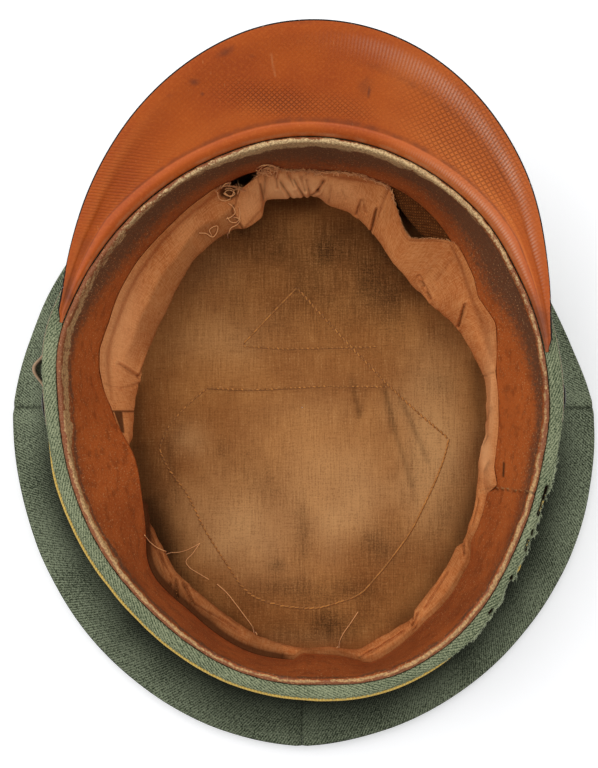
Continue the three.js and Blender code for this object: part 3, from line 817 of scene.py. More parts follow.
for name, first, flat in (
    ("crown_panel_front_right", 0, (0.165, 0.046)), ("crown_panel_front_left", 90, (0.165, 0.046)),
    ("crown_panel_back_left", 180, (0.185, 0.055)), ("crown_panel_back_right", 270, (0.185, 0.055)),
):
    crown_panel(name, first, first + 90)


def oval_sheet(piece, edge_out, rows, back_rows):
    """Oval sheet from its middle out to an edge and back to the middle underneath."""
    turn = all_round(piece)[:, None]
    reach = oval_reach(turn)
    shares, heights = rows
    out = (reach + edge_out(turn)) * shares[None, :] - reach
    face = place(turn, out, np.broadcast_to(heights[None, :], out.shape))
    back_shares, back_heights = back_rows
    out = (reach + edge_out(turn)) * back_shares[None, :] - reach
    back = place(turn, out, np.broadcast_to(back_heights[None, :], out.shape))
    return turn, face, back


def oval_mesh(name, face, back, marks):
    points = np.concatenate([face, back], 1)
    rows, columns = points.shape[:2]
    faces = grid_faces(rows, columns, True, False)
    flat = points[..., :2].reshape(-1, 2)
    return mesh_from(name, points, faces, flat[faces.reshape(-1)], marks)


def curl(share):
    table = np.array([(0, 0), (0.86, 0), (0.94, 0.7), (0.98, 2.0), (1, 4.25)])
    return np.interp(share, table[:, 0], table[:, 1])


def crown_top():
    shares = np.concatenate([[0.002], np.linspace(0.06, 0.86, 22), np.linspace(0.87, 1, 22)])
    heights = curl(shares)
    back_shares = np.concatenate([np.linspace(1, 0.87, 14), [0.5, 0.002]])
    back_heights = curl(back_shares) + CROWN["cloth"] * np.linspace(0.6, 1, len(back_shares))

    def edge(turn):
        return crown_out(turn) + by_turn(SLACK, turn) - CROWN["top_seam_in"] - 0.4

    turn, face, back = oval_sheet("crown_top", edge, (shares, heights), (back_shares, back_heights))
    face[..., 2] += 0.06 * (1 + noise(face, 12, 6)) * (face[..., 2] < 0.5)
    count = len(shares) + len(back_shares)
    marks = {"shade": np.zeros((len(turn), count))}
    mesh = oval_mesh("crown_top", face, back, marks)
    obj = add("crown_top_cloth", mesh, [crown_wool], ["crown_top"])


crown_top()


# Band: its lower edge is turned over the rim as a strip, worn through along its outer edge

BAND_HOLES = (
    # x and y of both ends in the photograph, half width in pixels, depth
    (547, 487, 543, 501, 1.7, 2.2), (542.5, 502, 538.5, 515, 1.7, 2.4), (529, 541, 527, 550, 2.4, 2.4),
    (512, 576.5, 509.5, 584, 1.3, 2), (492, 610, 489.5, 613.5, 1.3, 1.8),
    (533, 530, 532, 535, 1.2, 1.5),
)

ROLL_OUT = np.array([
    # turn, and how far the leather's roll has worked outwards over the rim
    (0, 0.4), (10, 0), (90, 0), (165, 0), (180, 0.4), (198, 1), (220, 1.2), (236, 0.8), (252, 1.2),
    (268, 1.3), (276, 0.7), (284, 1.2), (292, 2), (300, 2.1), (308, 2.6), (316, 2.6), (324, 2.1),
    (332, 1.8), (340, 1.6), (348, 1), (355, 0.6),
])


def roll_shift(turn):
    return np.maximum(by_turn(ROLL_OUT, turn), 0)


# How many steps lie between the points of the band's profile, from the rim out and down
STRIP_ROWS = (3, 5, 6, 6, 3, 3, 3, 4, 4)


def band():
    turn = all_round("band")
    t = turn[:, None]
    rim, top = rim_out(turn), rim_up(turn)
    clear = clear_of_strip(turn)
    moved = roll_shift(turn)
    ring = place(turn, rim, top)
    worn = between(turn, "worn_strip")
    ragged = worn * (0.6 * noise(ring, 2.6, 21) + 0.45 * noise(ring, 1.1, 22) + 0.35)
    ragged = ragged + 1.7 * beside(turn, "wide_strip")
    outer = rim + BAND["face_out"]
    wide = rim + (BACK["strip_out"] + 0.2 * (1 - eased(292, 300, turn))) * clear + ragged
    foot = CROWN["band_seam_up"] + GAP
    face = [
        (rim + moved - 0.15, top - 1.1), (rim + moved - 0.05, top - 0.45),
        (rim + 0.7 * moved + 1.6, top - 0.35), (rim + 0.5 * moved + 3.4, top - 0.8),
        (wide + 4.8, top - 1.4), (wide + 5.3, top - 2.3), (wide + 4.9, top - 3.0), (outer, top - 4.2),
        (outer, mixed(foot, top, 0.5)), (outer, np.full_like(rim, foot)),
    ]
    out, up = filled(face, STRIP_ROWS)
    inner = outer - BAND["cloth"]
    back = [
        (inner, np.full_like(rim, foot)), (inner, mixed(foot, top, 0.5)), (inner, top - 4.6),
        (inner, top - 2.9), (rim + 0.7 * moved + 1.6, top - 2.3), (rim + moved + 0.2, top - 2.2),
    ]
    back_out, back_up = filled(back, (3, 3, 2, 2, 2))
    face, back = place(t, out, up), place(t, back_out, back_up)
    x, y = seen(face)
    column = np.arange(face.shape[1])[None, :]
    on_strip = column < sum(STRIP_ROWS[:6]) + 1
    pit = np.zeros(face.shape[:2])
    for x0, y0, x1, y1, wide, depth in BAND_HOLES:
        off, _ = to_segment(x, y, x0, y0, x1, y1)
        off = off + 0.5 * noise(face, 0.8, 31)
        pit = np.maximum(pit, depth * (1 - eased(wide * 0.6, wide * 1.15, off)))
    lump = 0.10 * noise(face, 3.2, 11) + 0.16 * noise(face, 9, 12)
    face[..., 2] += (lump - pit) * on_strip
    under_peak = between(t, "under_peak")
    shade = np.clip(pit / 1.6, 0, 1) * on_strip
    shade = np.maximum(shade, 0.6 * under_peak * (column < 12) + 0.4 * (1 - under_peak) * (column < 2))
    points = np.concatenate([face, back], 1)
    marks = with_back({"shade": shade}, back)
    obj = add("band_cloth", shell("band", points, True, marks, 8), [band_wool], ["band"])
    return face


band_face = band()


def ring_tube(turn, out, up, radius, sides):
    angle = 2 * np.pi * np.arange(sides) / sides
    return place(turn[:, None], out[:, None] + radius * np.cos(angle), up[:, None] + radius * np.sin(angle))


def piping():
    turn = all_round("piping")
    clear = np.maximum(clear_of_strip(turn), 0.9 * beside(turn, "bared_cord"))
    out = rim_out(turn) + PIPING["out"] - 0.35 + (BACK["piping_out"] + 0.25) * clear
    up = rim_up(turn) - PIPING["drop"] + (BACK["piping_rise"] + 0.6) * clear
    line = place(turn, out, up)
    out = out + 0.12 * noise(line, 6, 41) * clear
    radius = mixed(0.45, 0.9 * PIPING["radius"], clear)[:, None]
    points = ring_tube(turn, out, up + 0.1 * noise(line, 5, 42), radius, 10)
    mesh = shell("band_piping", points, True)
    add("band_piping_cord", mesh, [piping_finish()], ["band_piping"])


piping()

DRAWN_BACK = np.array([
    # turn, and how far the leather's lower edge stands back towards the band
    (0, 0), (90, 0), (180, 0), (205, 0), (213, 0.6), (217, 1.6), (221, 3.2), (226, 3.2), (232, 1.6),
    (237, 0.4), (242, 0), (272, 0), (279, 0.4), (283, 2.6), (286, 5.2), (291, 5.2), (297, 4.4),
    (299.5, 4.2), (303, 3.8), (307, 4.6), (312, 5), (317, 4.4), (321, 3.6), (324.5, 0.4), (328, 0),
    (340, 0),
])


def leather_ends(turn):
    start = (rim_out(turn) - LEATHER["roll"] + 0.6 * roll_shift(turn), rim_up(turn) - LEATHER["drop"])
    inwards = leather_in(turn) - 1.6 * beside(turn, "slack_leather")
    inwards = inwards - 2.8 * between(turn, "back_left")
    inwards = inwards - by_turn(DRAWN_BACK, turn)
    lean = start[0] + inwards
    edge = (-inwards, start[1] - np.sqrt(LEATHER["width"] ** 2 - lean ** 2))
    return start, edge


def leather_swell(points):
    """How far the leather stands out of its plain lean."""
    return 0.5 * noise(points, 26, 51) + 0.2 * noise(points, 9, 52)


# Turns where the canvas tab begins and ends, and how far it hangs out
TAB = {"first": 40, "last": 67, "reach": 7.5}


def canvas_tab():
    """The canvas that hangs out behind the leather where the lining has come away."""
    turn = np.linspace(TAB["first"], TAB["last"], TURNS["canvas_tab"])
    _, edge = leather_ends(turn)
    middle = np.sin(np.pi * np.linspace(0, 1, len(turn)))
    reach = TAB["reach"] * middle ** 0.7
    behind = edge[0] + LEATHER["thick"] + 1.0
    profile = [
        (behind + 0.6, edge[1] + 6), (behind, edge[1] - 0.5),
        (edge[0] - 0.4 * reach, edge[1] - 2.0 - 0.25 * reach),
        (edge[0] - reach, edge[1] - 3.0 - 0.6 * reach),
    ]
    out, up = filled(profile, (6, 8, 8))
    back_out, back_up = other_face(out, up, -0.5)
    t = turn[:, None]
    face, back = place(t, out, up), place(t, back_out, back_up)
    lump = 0.5 * noise(face, 6, 47)
    face[..., 2] += lump
    back[..., 2] += lump
    return np.concatenate([face, back[:, ::-1]], 1)


def stiffener():
    turn = all_round("stiffener")
    rim, top = rim_out(turn), rim_up(turn) - STIFFENER["drop"]
    foot = np.full_like(rim, STIFFENER["foot"])
    rise = np.linspace(0, 1, 6)[None, :]
    t, foot, top, rim = (values[:, None] for values in (turn, foot, top, rim))
    inner = place(t, rim + STIFFENER["inner"], mixed(foot, top, rise))
    outer = place(t, rim + STIFFENER["outer"], mixed(top, foot, rise))
    ring = np.concatenate([inner, outer], 1)
    tab = canvas_tab()
    count = ring.shape[0] * ring.shape[1]
    faces = [grid_faces(*ring.shape[:2], True, True), grid_faces(*tab.shape[:2], False, True) + count]
    uv = [grid_uv(ring, True, True, 0), grid_uv(tab, False, True, 0)]
    points = np.concatenate([ring.reshape(-1, 3), tab.reshape(-1, 3)])
    mesh = mesh_from("band_stiffener", points, np.concatenate(faces), np.concatenate(uv), None)
    add("band_stiffener_canvas", mesh, [canvas_finish()], ["band_stiffener"])


stiffener()


# Sweatband: leather, rolled at the rim and leaning inwards to its free lower edge

SWEAT = np.array([
    # turn, where the dark stain ends as a share of the leather's width, and how dark it is
    (0, 0.17, 0.75), (20, 0.46, 0.95), (32, 0.66, 1), (45, 0.64, 1), (70, 0.5, 1), (90, 0.5, 1),
    (115, 0.55, 1), (140, 0.58, 1), (155, 0.42, 0.9), (168, 0.26, 0.8), (180, 0.2, 0.6),
    (200, 0.16, 0.4), (230, 0.1, 0.25), (270, 0.08, 0.2), (310, 0.12, 0.35), (335, 0.18, 0.6),
    (350, 0.2, 0.7),
])

RUBBED = np.array([
    # turn, where the rubbed roll begins and ends in pixels from the rim, and how worn it is
    (0, 2, 6.5, 0.8), (15, 1.2, 6, 0.68), (30, 0.5, 6.2, 0.62), (45, 0.2, 7.4, 0.76), (60, 0, 9, 0.9),
    (90, 1, 11, 1.05), (120, 1, 8.5, 0.74), (145, 3.5, 11, 0.6), (165, 5.5, 13, 0.76),
    (185, 4.2, 11.5, 0.88), (200, 3.2, 9.5, 0.95), (215, 2.4, 7.6, 1), (250, 2.2, 5.4, 0.95),
    (300, 2, 6.4, 1), (335, 2, 7, 0.88),
])

LEATHER_LIGHT_AND_SHADE = np.array([
    # turn, and how much painted light (above 0) or painted shade (below 0) lies on the leather there, for
    # the way the light falls round its sides
    (0, 0.5), (20, 0.5), (38, 0.4), (55, 0.1), (90, 0), (130, 0.1), (150, 0.3), (180, 0.35), (205, 0.2),
    (240, 0), (270, -0.08), (300, -0.22), (320, -0.08), (335, 0.25), (350, 0.45),
])

LEATHER_SCUFFS = (
    # x and y in the photograph, half width and half height in pixels, lean, strength
    (115, 272, 7, 12, 30, 1), (524, 385, 8, 22, 0, 0.8), (512, 350, 5, 14, 0, 0.6),
    (92, 330, 6, 30, 0, 0.5), (80, 420, 8, 40, 0, 0.3), (520, 470, 10, 20, 0, 0.3),
    (260, 665, 60, 8, 10, 0.4), (420, 640, 40, 8, -40, 0.4),
)

# The sewn joint of the leather at the right: its line in pixels, its pixels a millimetre,
# and the stitch beside it
SEAM = {"first_x": 440, "x": 487, "y": 487.5, "slope": 0.12, "scale": 2.7}
SEAM_STITCH = (503.3, 463, 502.6, 476)


def sweatband():
    turn = all_round("leather")
    t = turn[:, None]
    start, edge = leather_ends(turn)
    rim, crest = rim_out(turn) + roll_shift(turn) - GAP, rim_up(turn) + LEATHER["rise"]
    tuck = rim_up(turn) - LEATHER["tuck"]
    roll = [
        (mixed(rim, start[0], 0.03), mixed(crest, tuck, 0.75)),
        (mixed(rim, start[0], 0.05), mixed(crest, start[1], 0.35)),
        (mixed(rim, start[0], 0.4), crest), (mixed(rim, start[0], 0.85), mixed(crest, start[1], 0.3)),
    ]
    shares = (0.03, 0.12, 0.3, 0.5, 0.75, 1.0)
    lean = [(mixed(start[0], edge[0], s ** LEATHER["bow"]), mixed(start[1], edge[1], s)) for s in shares]
    out, up = filled(roll + lean, (3, 4, 4, 3, 6, 9, 10, 12, 12))
    steps = np.cumsum(np.hypot(np.diff(out), np.diff(up)), 1)
    across = np.concatenate([np.zeros((len(turn), 1)), steps], 1)
    lean_share = np.clip((across - 5.0) / (across[:, -1:] - 5.0), 0, 1)
    under_out, under_up = other_face(out, up, -LEATHER["thick"])
    picks = (-1, -13, -25, -35)
    back = [(under_out[:, i], under_up[:, i]) for i in picks]
    back += [
        (start[0] + LEATHER["thick"], tuck - 1.4 * LEATHER["thick"]),
        (mixed(rim, start[0], 0.25), tuck - 0.42),
    ]
    back_out, back_up = filled(back, (4, 4, 3, 3, 2))
    face, back = place(t, out, up), place(t, back_out, back_up)
    x, y = seen(face)
    inset = np.hypot(x - x[:, 1:2], y - y[:, 1:2])
    roll_lump = 0.14 * noise(face, 2.2, 53) * (1 - eased(0, 0.05, lean_share))
    seam_off = (y - SEAM["y"] - SEAM["slope"] * (x - SEAM["x"])) / SEAM["scale"]
    seam_off = np.where(x > SEAM["first_x"], seam_off, 99.0)
    seam_off = seam_off + 0.25 * noise(face, 7, 54)
    groove = near(seam_off, 0.45)
    outward = normals(face)
    hold = eased(0.0, 0.06, lean_share) * (1 - 0.7 * eased(0.85, 1, lean_share))
    move = leather_swell(face) * hold + roll_lump - 0.5 * groove
    face = face + move[..., None] * outward
    end, depth = (by_turn(SWEAT, t, i) for i in (1, 2))
    middle = beside(t, "sweat_middle")
    end, depth = 1.2 * end + 0.30 * middle, np.maximum(depth, 0.8 * middle)
    dark = depth * (1 - eased(end * 0.3, end * 1.5, lean_share)) * eased(-0.01, 0.03, lean_share)
    first, last, worn = (by_turn(RUBBED, t, i) for i in (1, 2, 3))
    ragged = inset + 1.6 * noise(face, 4, 56) + 0.9 * noise(face, 1.6, 57)
    pale = worn * eased(first - 1.5, first + 1.0, ragged) * (1 - eased(last - 3.0, last + 1.0, ragged))
    rear = 1 - beside(t, "front")
    pale = pale * (1 + 0.35 * rear * noise(face, 9, 58))
    pale = pale + 0.75 * near(seam_off + 0.5, 0.35) * (inset > 4)
    rolled = 0.8 * (1 - eased(0.6 * last, last, inset))
    dark = np.maximum(dark, 0.85 * rear * near(ragged - last - 1.2, 1.6))
    tone = by_turn(LEATHER_LIGHT_AND_SHADE, t) * eased(0.05, 0.4, lean_share)
    scuff = 0.48 + 0.3 * noise(face, 20, 55)
    scuff = spots(x, y, LEATHER_SCUFFS, scuff)
    stitch, _ = to_segment(x, y, *SEAM_STITCH)
    seam = np.maximum(0.75 * near(seam_off - 0.15, 0.25), near(stitch, 1.1))
    marks = {
        "dark": dark * (1 - 0.6 * rolled), "pale": pale, "scuff": scuff, "seam": seam, "roll": rolled,
        "front": beside(t, "rubbed_front") + 0 * x,
        # painted light round the sides and a painted highlight along the leather's lower edge; painted
        # shade round the back
        "painted_light": np.maximum(tone, 0.55 * eased(0.965, 0.985, lean_share)), "painted_shade": np.maximum(-tone, 0),
    }
    marks = with_back(marks, back)
    mesh = shell("sweatband", np.concatenate([face, back], 1), True, marks, 20)
    add("sweatband_leather", mesh, [leather], ["sweatband"])
    return face


leather_face = sweatband()


# Lining: a gathered cotton wall under the leather, and a floor

CREASES = (
    # x and y of both ends in the photograph, width in pixels, depth; each crease also carries painted shade
    # along its middle
    (265.8, 176, 263, 198, 2.6, 0.9), (275.5, 172, 277.5, 188, 1.6, 1.2),
    (280.5, 182, 291.5, 200, 1.8, 1.4), (288, 173, 294, 187, 1.6, 1.2),
    (294, 180, 305, 199.5, 1.7, 1.5), (300.5, 176, 305, 191, 1.4, 1),
    (306.5, 180, 310.5, 198, 1.5, 1.2), (323.5, 181, 317.5, 191, 1.7, 2),
    (317.5, 191, 312, 195, 1.4, 1.2), (331, 186, 329, 204, 1.5, 0.6), (361, 201, 356, 215, 1.5, 1.2),
    (362.5, 200, 366.5, 213, 1.3, 0.8), (376.5, 209, 371, 231, 1.4, 1.9),
    (342, 190, 346, 200, 1.3, 0.5), (419, 277, 430, 299, 1.7, 1.5), (465, 305, 458, 327, 1.6, 1.8),
    (452, 262, 438, 282, 3, 0.5), (119, 364, 139, 377, 2, 1.2), (139, 377, 150, 354, 1.6, 1),
    (105, 384, 122, 389, 1.8, 0.5), (122, 389, 140, 384, 1.6, 0.5), (148, 530, 172, 580, 1.8, 1.2),
    (176, 580, 176.5, 597, 1.6, 2), (184, 584, 192, 602, 1.7, 2), (160, 553, 170, 585, 1.5, 1),
    (192, 604, 240, 632, 2.2, 1), (192, 586, 238, 624, 1.6, 0.8), (281, 662, 284, 648, 1.1, 1.4),
    (360, 658, 372, 650, 1.4, 1.2), (412, 626, 418, 612, 1.3, 1.2), (480, 491, 495, 487, 1, 0.9),
    (489, 462, 484, 472, 3.2, 0.8), (491, 408, 486, 420, 2.4, 0.6), (488, 436, 483, 444, 2.2, 0.7),
    (247, 182, 258, 176, 1.4, 0.7), (484, 376, 497, 371, 1, 0.9), (465, 555, 463, 543, 1.3, 1.6),
    (447, 572, 425, 608, 1.3, 1), (413, 625, 413, 612, 1.2, 1.6), (404, 631, 372, 652, 1.2, 0.9),
    (478, 500, 472, 525, 1.4, 0.8),
)

LINING_PAINTED_LIGHT = (
    # x and y in the photograph, half width and half height in pixels, lean, strength of the painted light
    # on raised and lit parts of the lining
    (118, 330, 20, 70, 12, 0.36), (292, 190, 38, 16, 0, 0.75), (484, 447, 8, 30, -5, 0.8),
    (340, 190, 26, 14, 20, 0.25), (190, 225, 24, 14, -40, 0.1), (250, 205, 12, 20, 20, 0.3),
    (490, 400, 7, 60, 0, 0.45),
)

LINING_PAINTED_SHADE = (
    # the same, for places with painted shade
    (425, 262, 34, 46, -40, 0.24), (455, 300, 14, 26, -20, 0.15), (380, 215, 18, 14, 30, 0.12),
    (128, 380, 12, 16, 0, 0.1),
)

# The folded corner at the front left: its outline in pixels, its rise and the sides that it shades
FLAP = (
    (240, 190), (257, 177), (259.5, 186), (262.5, 200), (263, 208), (244, 228.5), (233, 211),
)
FLAP_RISE = 1.8
FLAP_RIGHT = {"x": 250, "top": 183, "low": 200}
FLAP_LEFT = {"x": 246, "top": 205}

# Where the wall steps down at the left, with painted shadow in its tuck, and the hole at the front left,
# with painted shade inside it
STEP = {"y": 411.6, "fade": (452, 466), "last_x": 150, "shade": (112, 135)}
TUCK = ((113.5, 411.3), (121.8, 411.3), (124.0, 433.0), (121.0, 433.0))
HOLE = {"x": 229.0, "y": 192.0, "wide": 10.0, "tall": 8.5, "lean": -25.0}


def seen_ring(table, up):
    """Turns and outs of readings of the seen oval, at a height."""
    angle = np.radians(table[:, 0])
    x = SEEN_OVAL["middle"][0] + table[:, 1] * SEEN_OVAL["half_wide"] * np.cos(angle)
    y = SEEN_OVAL["middle"][1] - table[:, 1] * SEEN_OVAL["half_tall"] * np.sin(angle)
    point = under_pixel(x, y, up)
    across, along = point[:, 0] / RIM["half_width"], (point[:, 1] - RIM["y"]) / RIM["half_length"]
    turn = np.mod(np.degrees(np.arctan2(along, across)), 360)
    return turn, (np.hypot(across, along) - 1) * oval_reach(turn)


def softened(turn, values, spread):
    """Values on an even ring of turns, smoothed over a few degrees."""
    step = turn[1] - turn[0]
    reach = int(4 * spread / step)
    weights = np.exp(-0.5 * (np.arange(-reach, reach + 1) * step / spread) ** 2)
    around = np.concatenate([values[-reach:], values, values[:reach]])
    return np.convolve(around, weights / weights.sum(), "valid")


def ring_of(turn, table, up):
    at, out = seen_ring(table, up)
    order = np.argsort(at)
    return softened(turn, np.interp(turn, at[order], out[order], period=360), 0.7)


def on_leather(start, edge, rise, clear):
    along = np.stack([start[0] - edge[0], start[1] - edge[1]])
    along = along / np.hypot(*along)
    return edge[0] + along[0] * rise - along[1] * clear, edge[1] + along[1] * rise + along[0] * clear


def inside(x, y, corners):
    """Distance inside a convex outline of pixels, negative outside it."""
    found = np.full(x.shape, 1e9)
    for (x0, y0), (x1, y1) in zip(corners, corners[1:] + corners[:1]):
        length = math.hypot(x1 - x0, y1 - y0)
        found = np.minimum(found, ((x - x0) * (y0 - y1) + (y - y0) * (x1 - x0)) / length)
    return found


def lining_wall():
    ring = np.arange(0, 360, 0.25)
    start, edge = leather_ends(ring)
    slide = np.maximum((start[0] - edge[0]) / LEATHER["width"], 0.15)
    tucked, hidden, raw = (between(ring, part) for part in ("tucked", "hidden", "raw_edge"))
    line = place(ring, edge[0], edge[1])
    ragged = raw * (0.5 * noise(line, 2.0, 61) + 0.4 * noise(line, 0.9, 62))
    clear = softened(ring, mixed(LINING["clear"] - 0.4, -0.4, tucked), 0.6)
    pull = np.array([[1.0], [0.3]])
    height = np.full(len(LINING_EDGE), 52.0)
    close = clear
    for _ in range(3):
        wanted = ring_of(ring, LINING_EDGE, height)
        over = np.clip((wanted - edge[0]) / slide, -1.5, 22)
        over = softened(ring, mixed(over, -0.4, tucked), 0.4) + ragged
        gap = softened(ring, np.maximum(edge[0] - wanted - 1.5 * slide, 0) * (1 - tucked), 0.4)
        upper = np.array(on_leather(start, edge, over, close)) - gap * pull
        height = np.interp(LINING_EDGE[:, 0], ring, upper[1])
        swell = leather_swell(place(ring, *upper)) * eased(0, 3, over)
        close = mixed(np.minimum(0.2 + np.maximum(swell, -0.2), clear), clear, tucked)
    lip = np.array(on_leather(start, edge, np.minimum(over, 0) - LINING["lip"], clear + LINING["lip_in"]))
    lip = lip - gap * pull + 1.8 * hidden * np.array([[1.0], [0.0]])
    fold_up = np.minimum(LINING["fold_up"], lip[1] - LINING["fold_drop"])
    fold_out = np.minimum(ring_of(ring, LINING_FOLD, 36.0), lip[0] - LINING["lip_in"])
    fold_out = fold_out + 0.4 * noise(line, 7, 63) + 0.25 * noise(line, 3, 64)
    fold_out = mixed(fold_out, lip[0] + 1.5, hidden)
    foot = (rim_out(ring) + LINING["foot_out"], np.full_like(ring, LINING["foot_up"]))
    middle = np.array(on_leather(start, edge, 0.5 * over, clear + 0.4)) - gap * pull
    middle = mixed(mixed(upper, lip, 0.5), middle, eased(2, 6, over))
    controls = [
        upper, mixed(upper, middle, 0.1), middle, lip,
        (mixed(lip[0], fold_out, 0.45), mixed(lip[1], fold_up, 0.33)),
        (mixed(lip[0], fold_out, 0.8), mixed(lip[1], fold_up, 0.72)),
        (fold_out, mixed(fold_up, foot[1], 0.06)),
        (mixed(fold_out, foot[0], 0.12), mixed(fold_up, foot[1], 0.24)),
        (mixed(fold_out, foot[0], 0.5), mixed(fold_up, foot[1], 0.55)), foot,
    ]
    front, rear = (20, 200, TURNS["lining_front"]), (200, 380, TURNS["lining_back"])
    turn = np.concatenate([np.linspace(*part, endpoint=False) for part in (front, rear)])
    controls = [[np.interp(turn, ring, values, period=360) for values in pair] for pair in controls]
    counts = (1, 6, 6, 12, 12, 9, 4, 4, 4)
    out, up = filled(controls, counts)
    thick = LINING["thick"] * mixed(0.2, 1, eased(0, 8, np.arange(out.shape[1])))
    back_out, back_up = other_face(out, up, -thick)
    t = turn[:, None]
    face, back = place(t, out, up), place(t, back_out[:, ::3], back_up[:, ::3])
    fold_column = sum(counts[:6])
    leather_x, leather_y = seen(place(turn, *leather_ends(turn)[1])[:, None])

    def shaped(points, fold):
        x, y = seen(points)
        rows = np.linspace(0, 1, points.shape[1])[None, :]
        strip = 1 - eased(0.80, 0.92, rows)
        inset = np.hypot(x - x[:, :1], y - y[:, :1])
        inset = inset / np.maximum(inset[:, fold:fold + 1], 4)
        # the dark line is painted shade: in creases, beside the flap, inside the hole, under the leather's
        # edge, in the tuck and at the step
        down, line = np.zeros(points.shape[:2]), np.zeros(points.shape[:2])
        for x0, y0, x1, y1, wide, depth in CREASES:
            off, _ = to_segment(x, y, x0, y0, x1, y1)
            off = off + 0.4 * noise(points, 2.5, 67)
            wide = 0.75 * wide
            ridge = 0.4 * depth * near(off - 2.6 * wide, 1.4 * wide)
            down = down + depth * near(off, wide) - ridge
            line = np.maximum(line, min(1, 0.45 * depth) * near(off, 0.6 * wide))
        away = inside(x, y, FLAP)
        raised = FLAP_RISE * eased(-0.6, 0.6, away)
        at_right = (x > FLAP_RIGHT["x"]) & (y > FLAP_RIGHT["top"]) & (y < FLAP_RIGHT["low"])
        shaded = at_right | ((x < FLAP_LEFT["x"]) & (y > FLAP_LEFT["top"]))
        line = np.maximum(line, 0.75 * near(away + 1.3, 1.0) * shaded)
        hole = spot(x, y, HOLE["x"], HOLE["y"], HOLE["wide"], HOLE["tall"], HOLE["lean"])
        hole = hole * (1 + 0.4 * noise(points, 2.5, 60))
        line = np.maximum(line, 0.95 * eased(0.3, 0.62, hole))
        raised = raised + 0.3 * near(hole - 0.26, 0.1) - 1.5 * eased(0.35, 0.7, hole)
        inner = eased(0.50, 0.62, inset + 0.06 * noise(points, 8, 69))
        line = np.maximum(line, 0.42 * inner * between(t, "left_shade"))
        line = np.maximum(line, 0.45 * inner * between(t, "corner_shade"))
        rear = between(t, "rear_shade")
        under = np.maximum(np.hypot(x - leather_x, y - leather_y) - 3.5, 0)
        wide = 1 - eased(262, 270, t)
        reach = mixed(2.2, 6.5, wide)
        close_by = mixed(0.2, 0.5, wide) * near(under, reach)
        close_by = close_by + mixed(0.2, 0.45, wide) * near(under, 2.2)
        line = np.maximum(line, rear * (mixed(0.10, 0.42, wide) + 0.14 * noise(points, 6, 59) + close_by))
        line = np.maximum(line, eased(-0.6, 0.6, inside(x, y, TUCK)))
        below = eased(STEP["y"] - 1.4, STEP["y"], y) * (1 - eased(*STEP["fade"], y)) * (x < STEP["last_x"])
        step = near(y - STEP["y"], 0.9) * (x > STEP["shade"][0]) * (x < STEP["shade"][1])
        step = step * (rows < 0.8)
        line = np.maximum(line, 0.8 * step)
        wave = 0.5 * noise(points, 16, 65) + 0.25 * noise(points, 6, 66) + 0.1 * noise(points, 2.6, 68)
        wave = wave * eased(0.0, 0.12, rows)
        painted_highlight = spots(x, y, LINING_PAINTED_LIGHT, np.zeros(points.shape[:2]))
        line = spots(x, y, LINING_PAINTED_SHADE, line)
        points = points.copy()
        points[..., 2] += strip * (raised + wave - down - 2.0 * below)
        inward = points[..., :2] / np.linalg.norm(points[..., :2], axis=-1, keepdims=True)
        points[..., :2] += inward * (0.45 * down * strip * eased(0.35, 0.7, rows))[..., None]
        return points, np.minimum(0.85 * line, 0.9) * strip, painted_highlight

    face, stain_and_shade, painted_highlight = shaped(face, fold_column)
    back = shaped(back, fold_column // 3)[0]
    marks = with_back({"stain_and_shade": stain_and_shade, "painted_highlight": painted_highlight}, back)
    points = np.concatenate([face, back[:, ::-1]], 1)
    mesh = shell("lining_side", points, True, marks, 13)
    obj = add("lining_side_cotton", mesh, [cotton], ["lining_side"])
    return face, turn


lining_face, lining_turns = lining_wall()

FLOOR_STAINS_AND_SHADE = (
    # x and y in the photograph, half width and half height in pixels, lean, strength; stains, with painted
    # shade under the lining's folds at the left and at the front
    (255, 478, 26, 20, 30, 0.35), (302, 532, 9, 34, 0, 0.35), (380, 548, 30, 20, -30, 0.46),
    (330, 626, 56, 15, 0, 0.38), (277, 565, 8, 6, 0, 0.42), (392, 415, 9, 26, 12, 0.12),
    (357, 396, 7, 22, 8, 0.1), (412, 470, 14, 30, 20, 0.1), (168, 470, 14, 52, 8, 0.35),
    (165, 550, 14, 36, -24, 0.45), (300, 250, 110, 40, 0, 0.6), (390, 290, 60, 40, 40, 0.3),
    (300, 592, 60, 14, 0, 0.35), (440, 520, 12, 50, 20, 0.25), (222, 450, 8, 12, 0, 0.25),
    (440, 385, 16, 12, 20, 0.2), (300, 310, 90, 26, 0, 0.22), (350, 602, 40, 18, -20, 0.52),
    (230, 600, 30, 14, 30, 0.3), (310, 640, 50, 8, 0, 0.3),
)
FLOOR_LIGHTS = (
    # the same, for places that are lighter
    (325, 475, 72, 72, 10, 0.3), (240, 527, 62, 42, 20, 0.42), (190, 440, 18, 18, 0, 0.3),
    (350, 520, 40, 34, -30, 0.14), (230, 340, 60, 30, 0, 0.16), (300, 640, 50, 10, 0, 0.15),
    (432, 440, 36, 80, 0, 0.46), (210, 270, 30, 24, -40, 0.12),
)

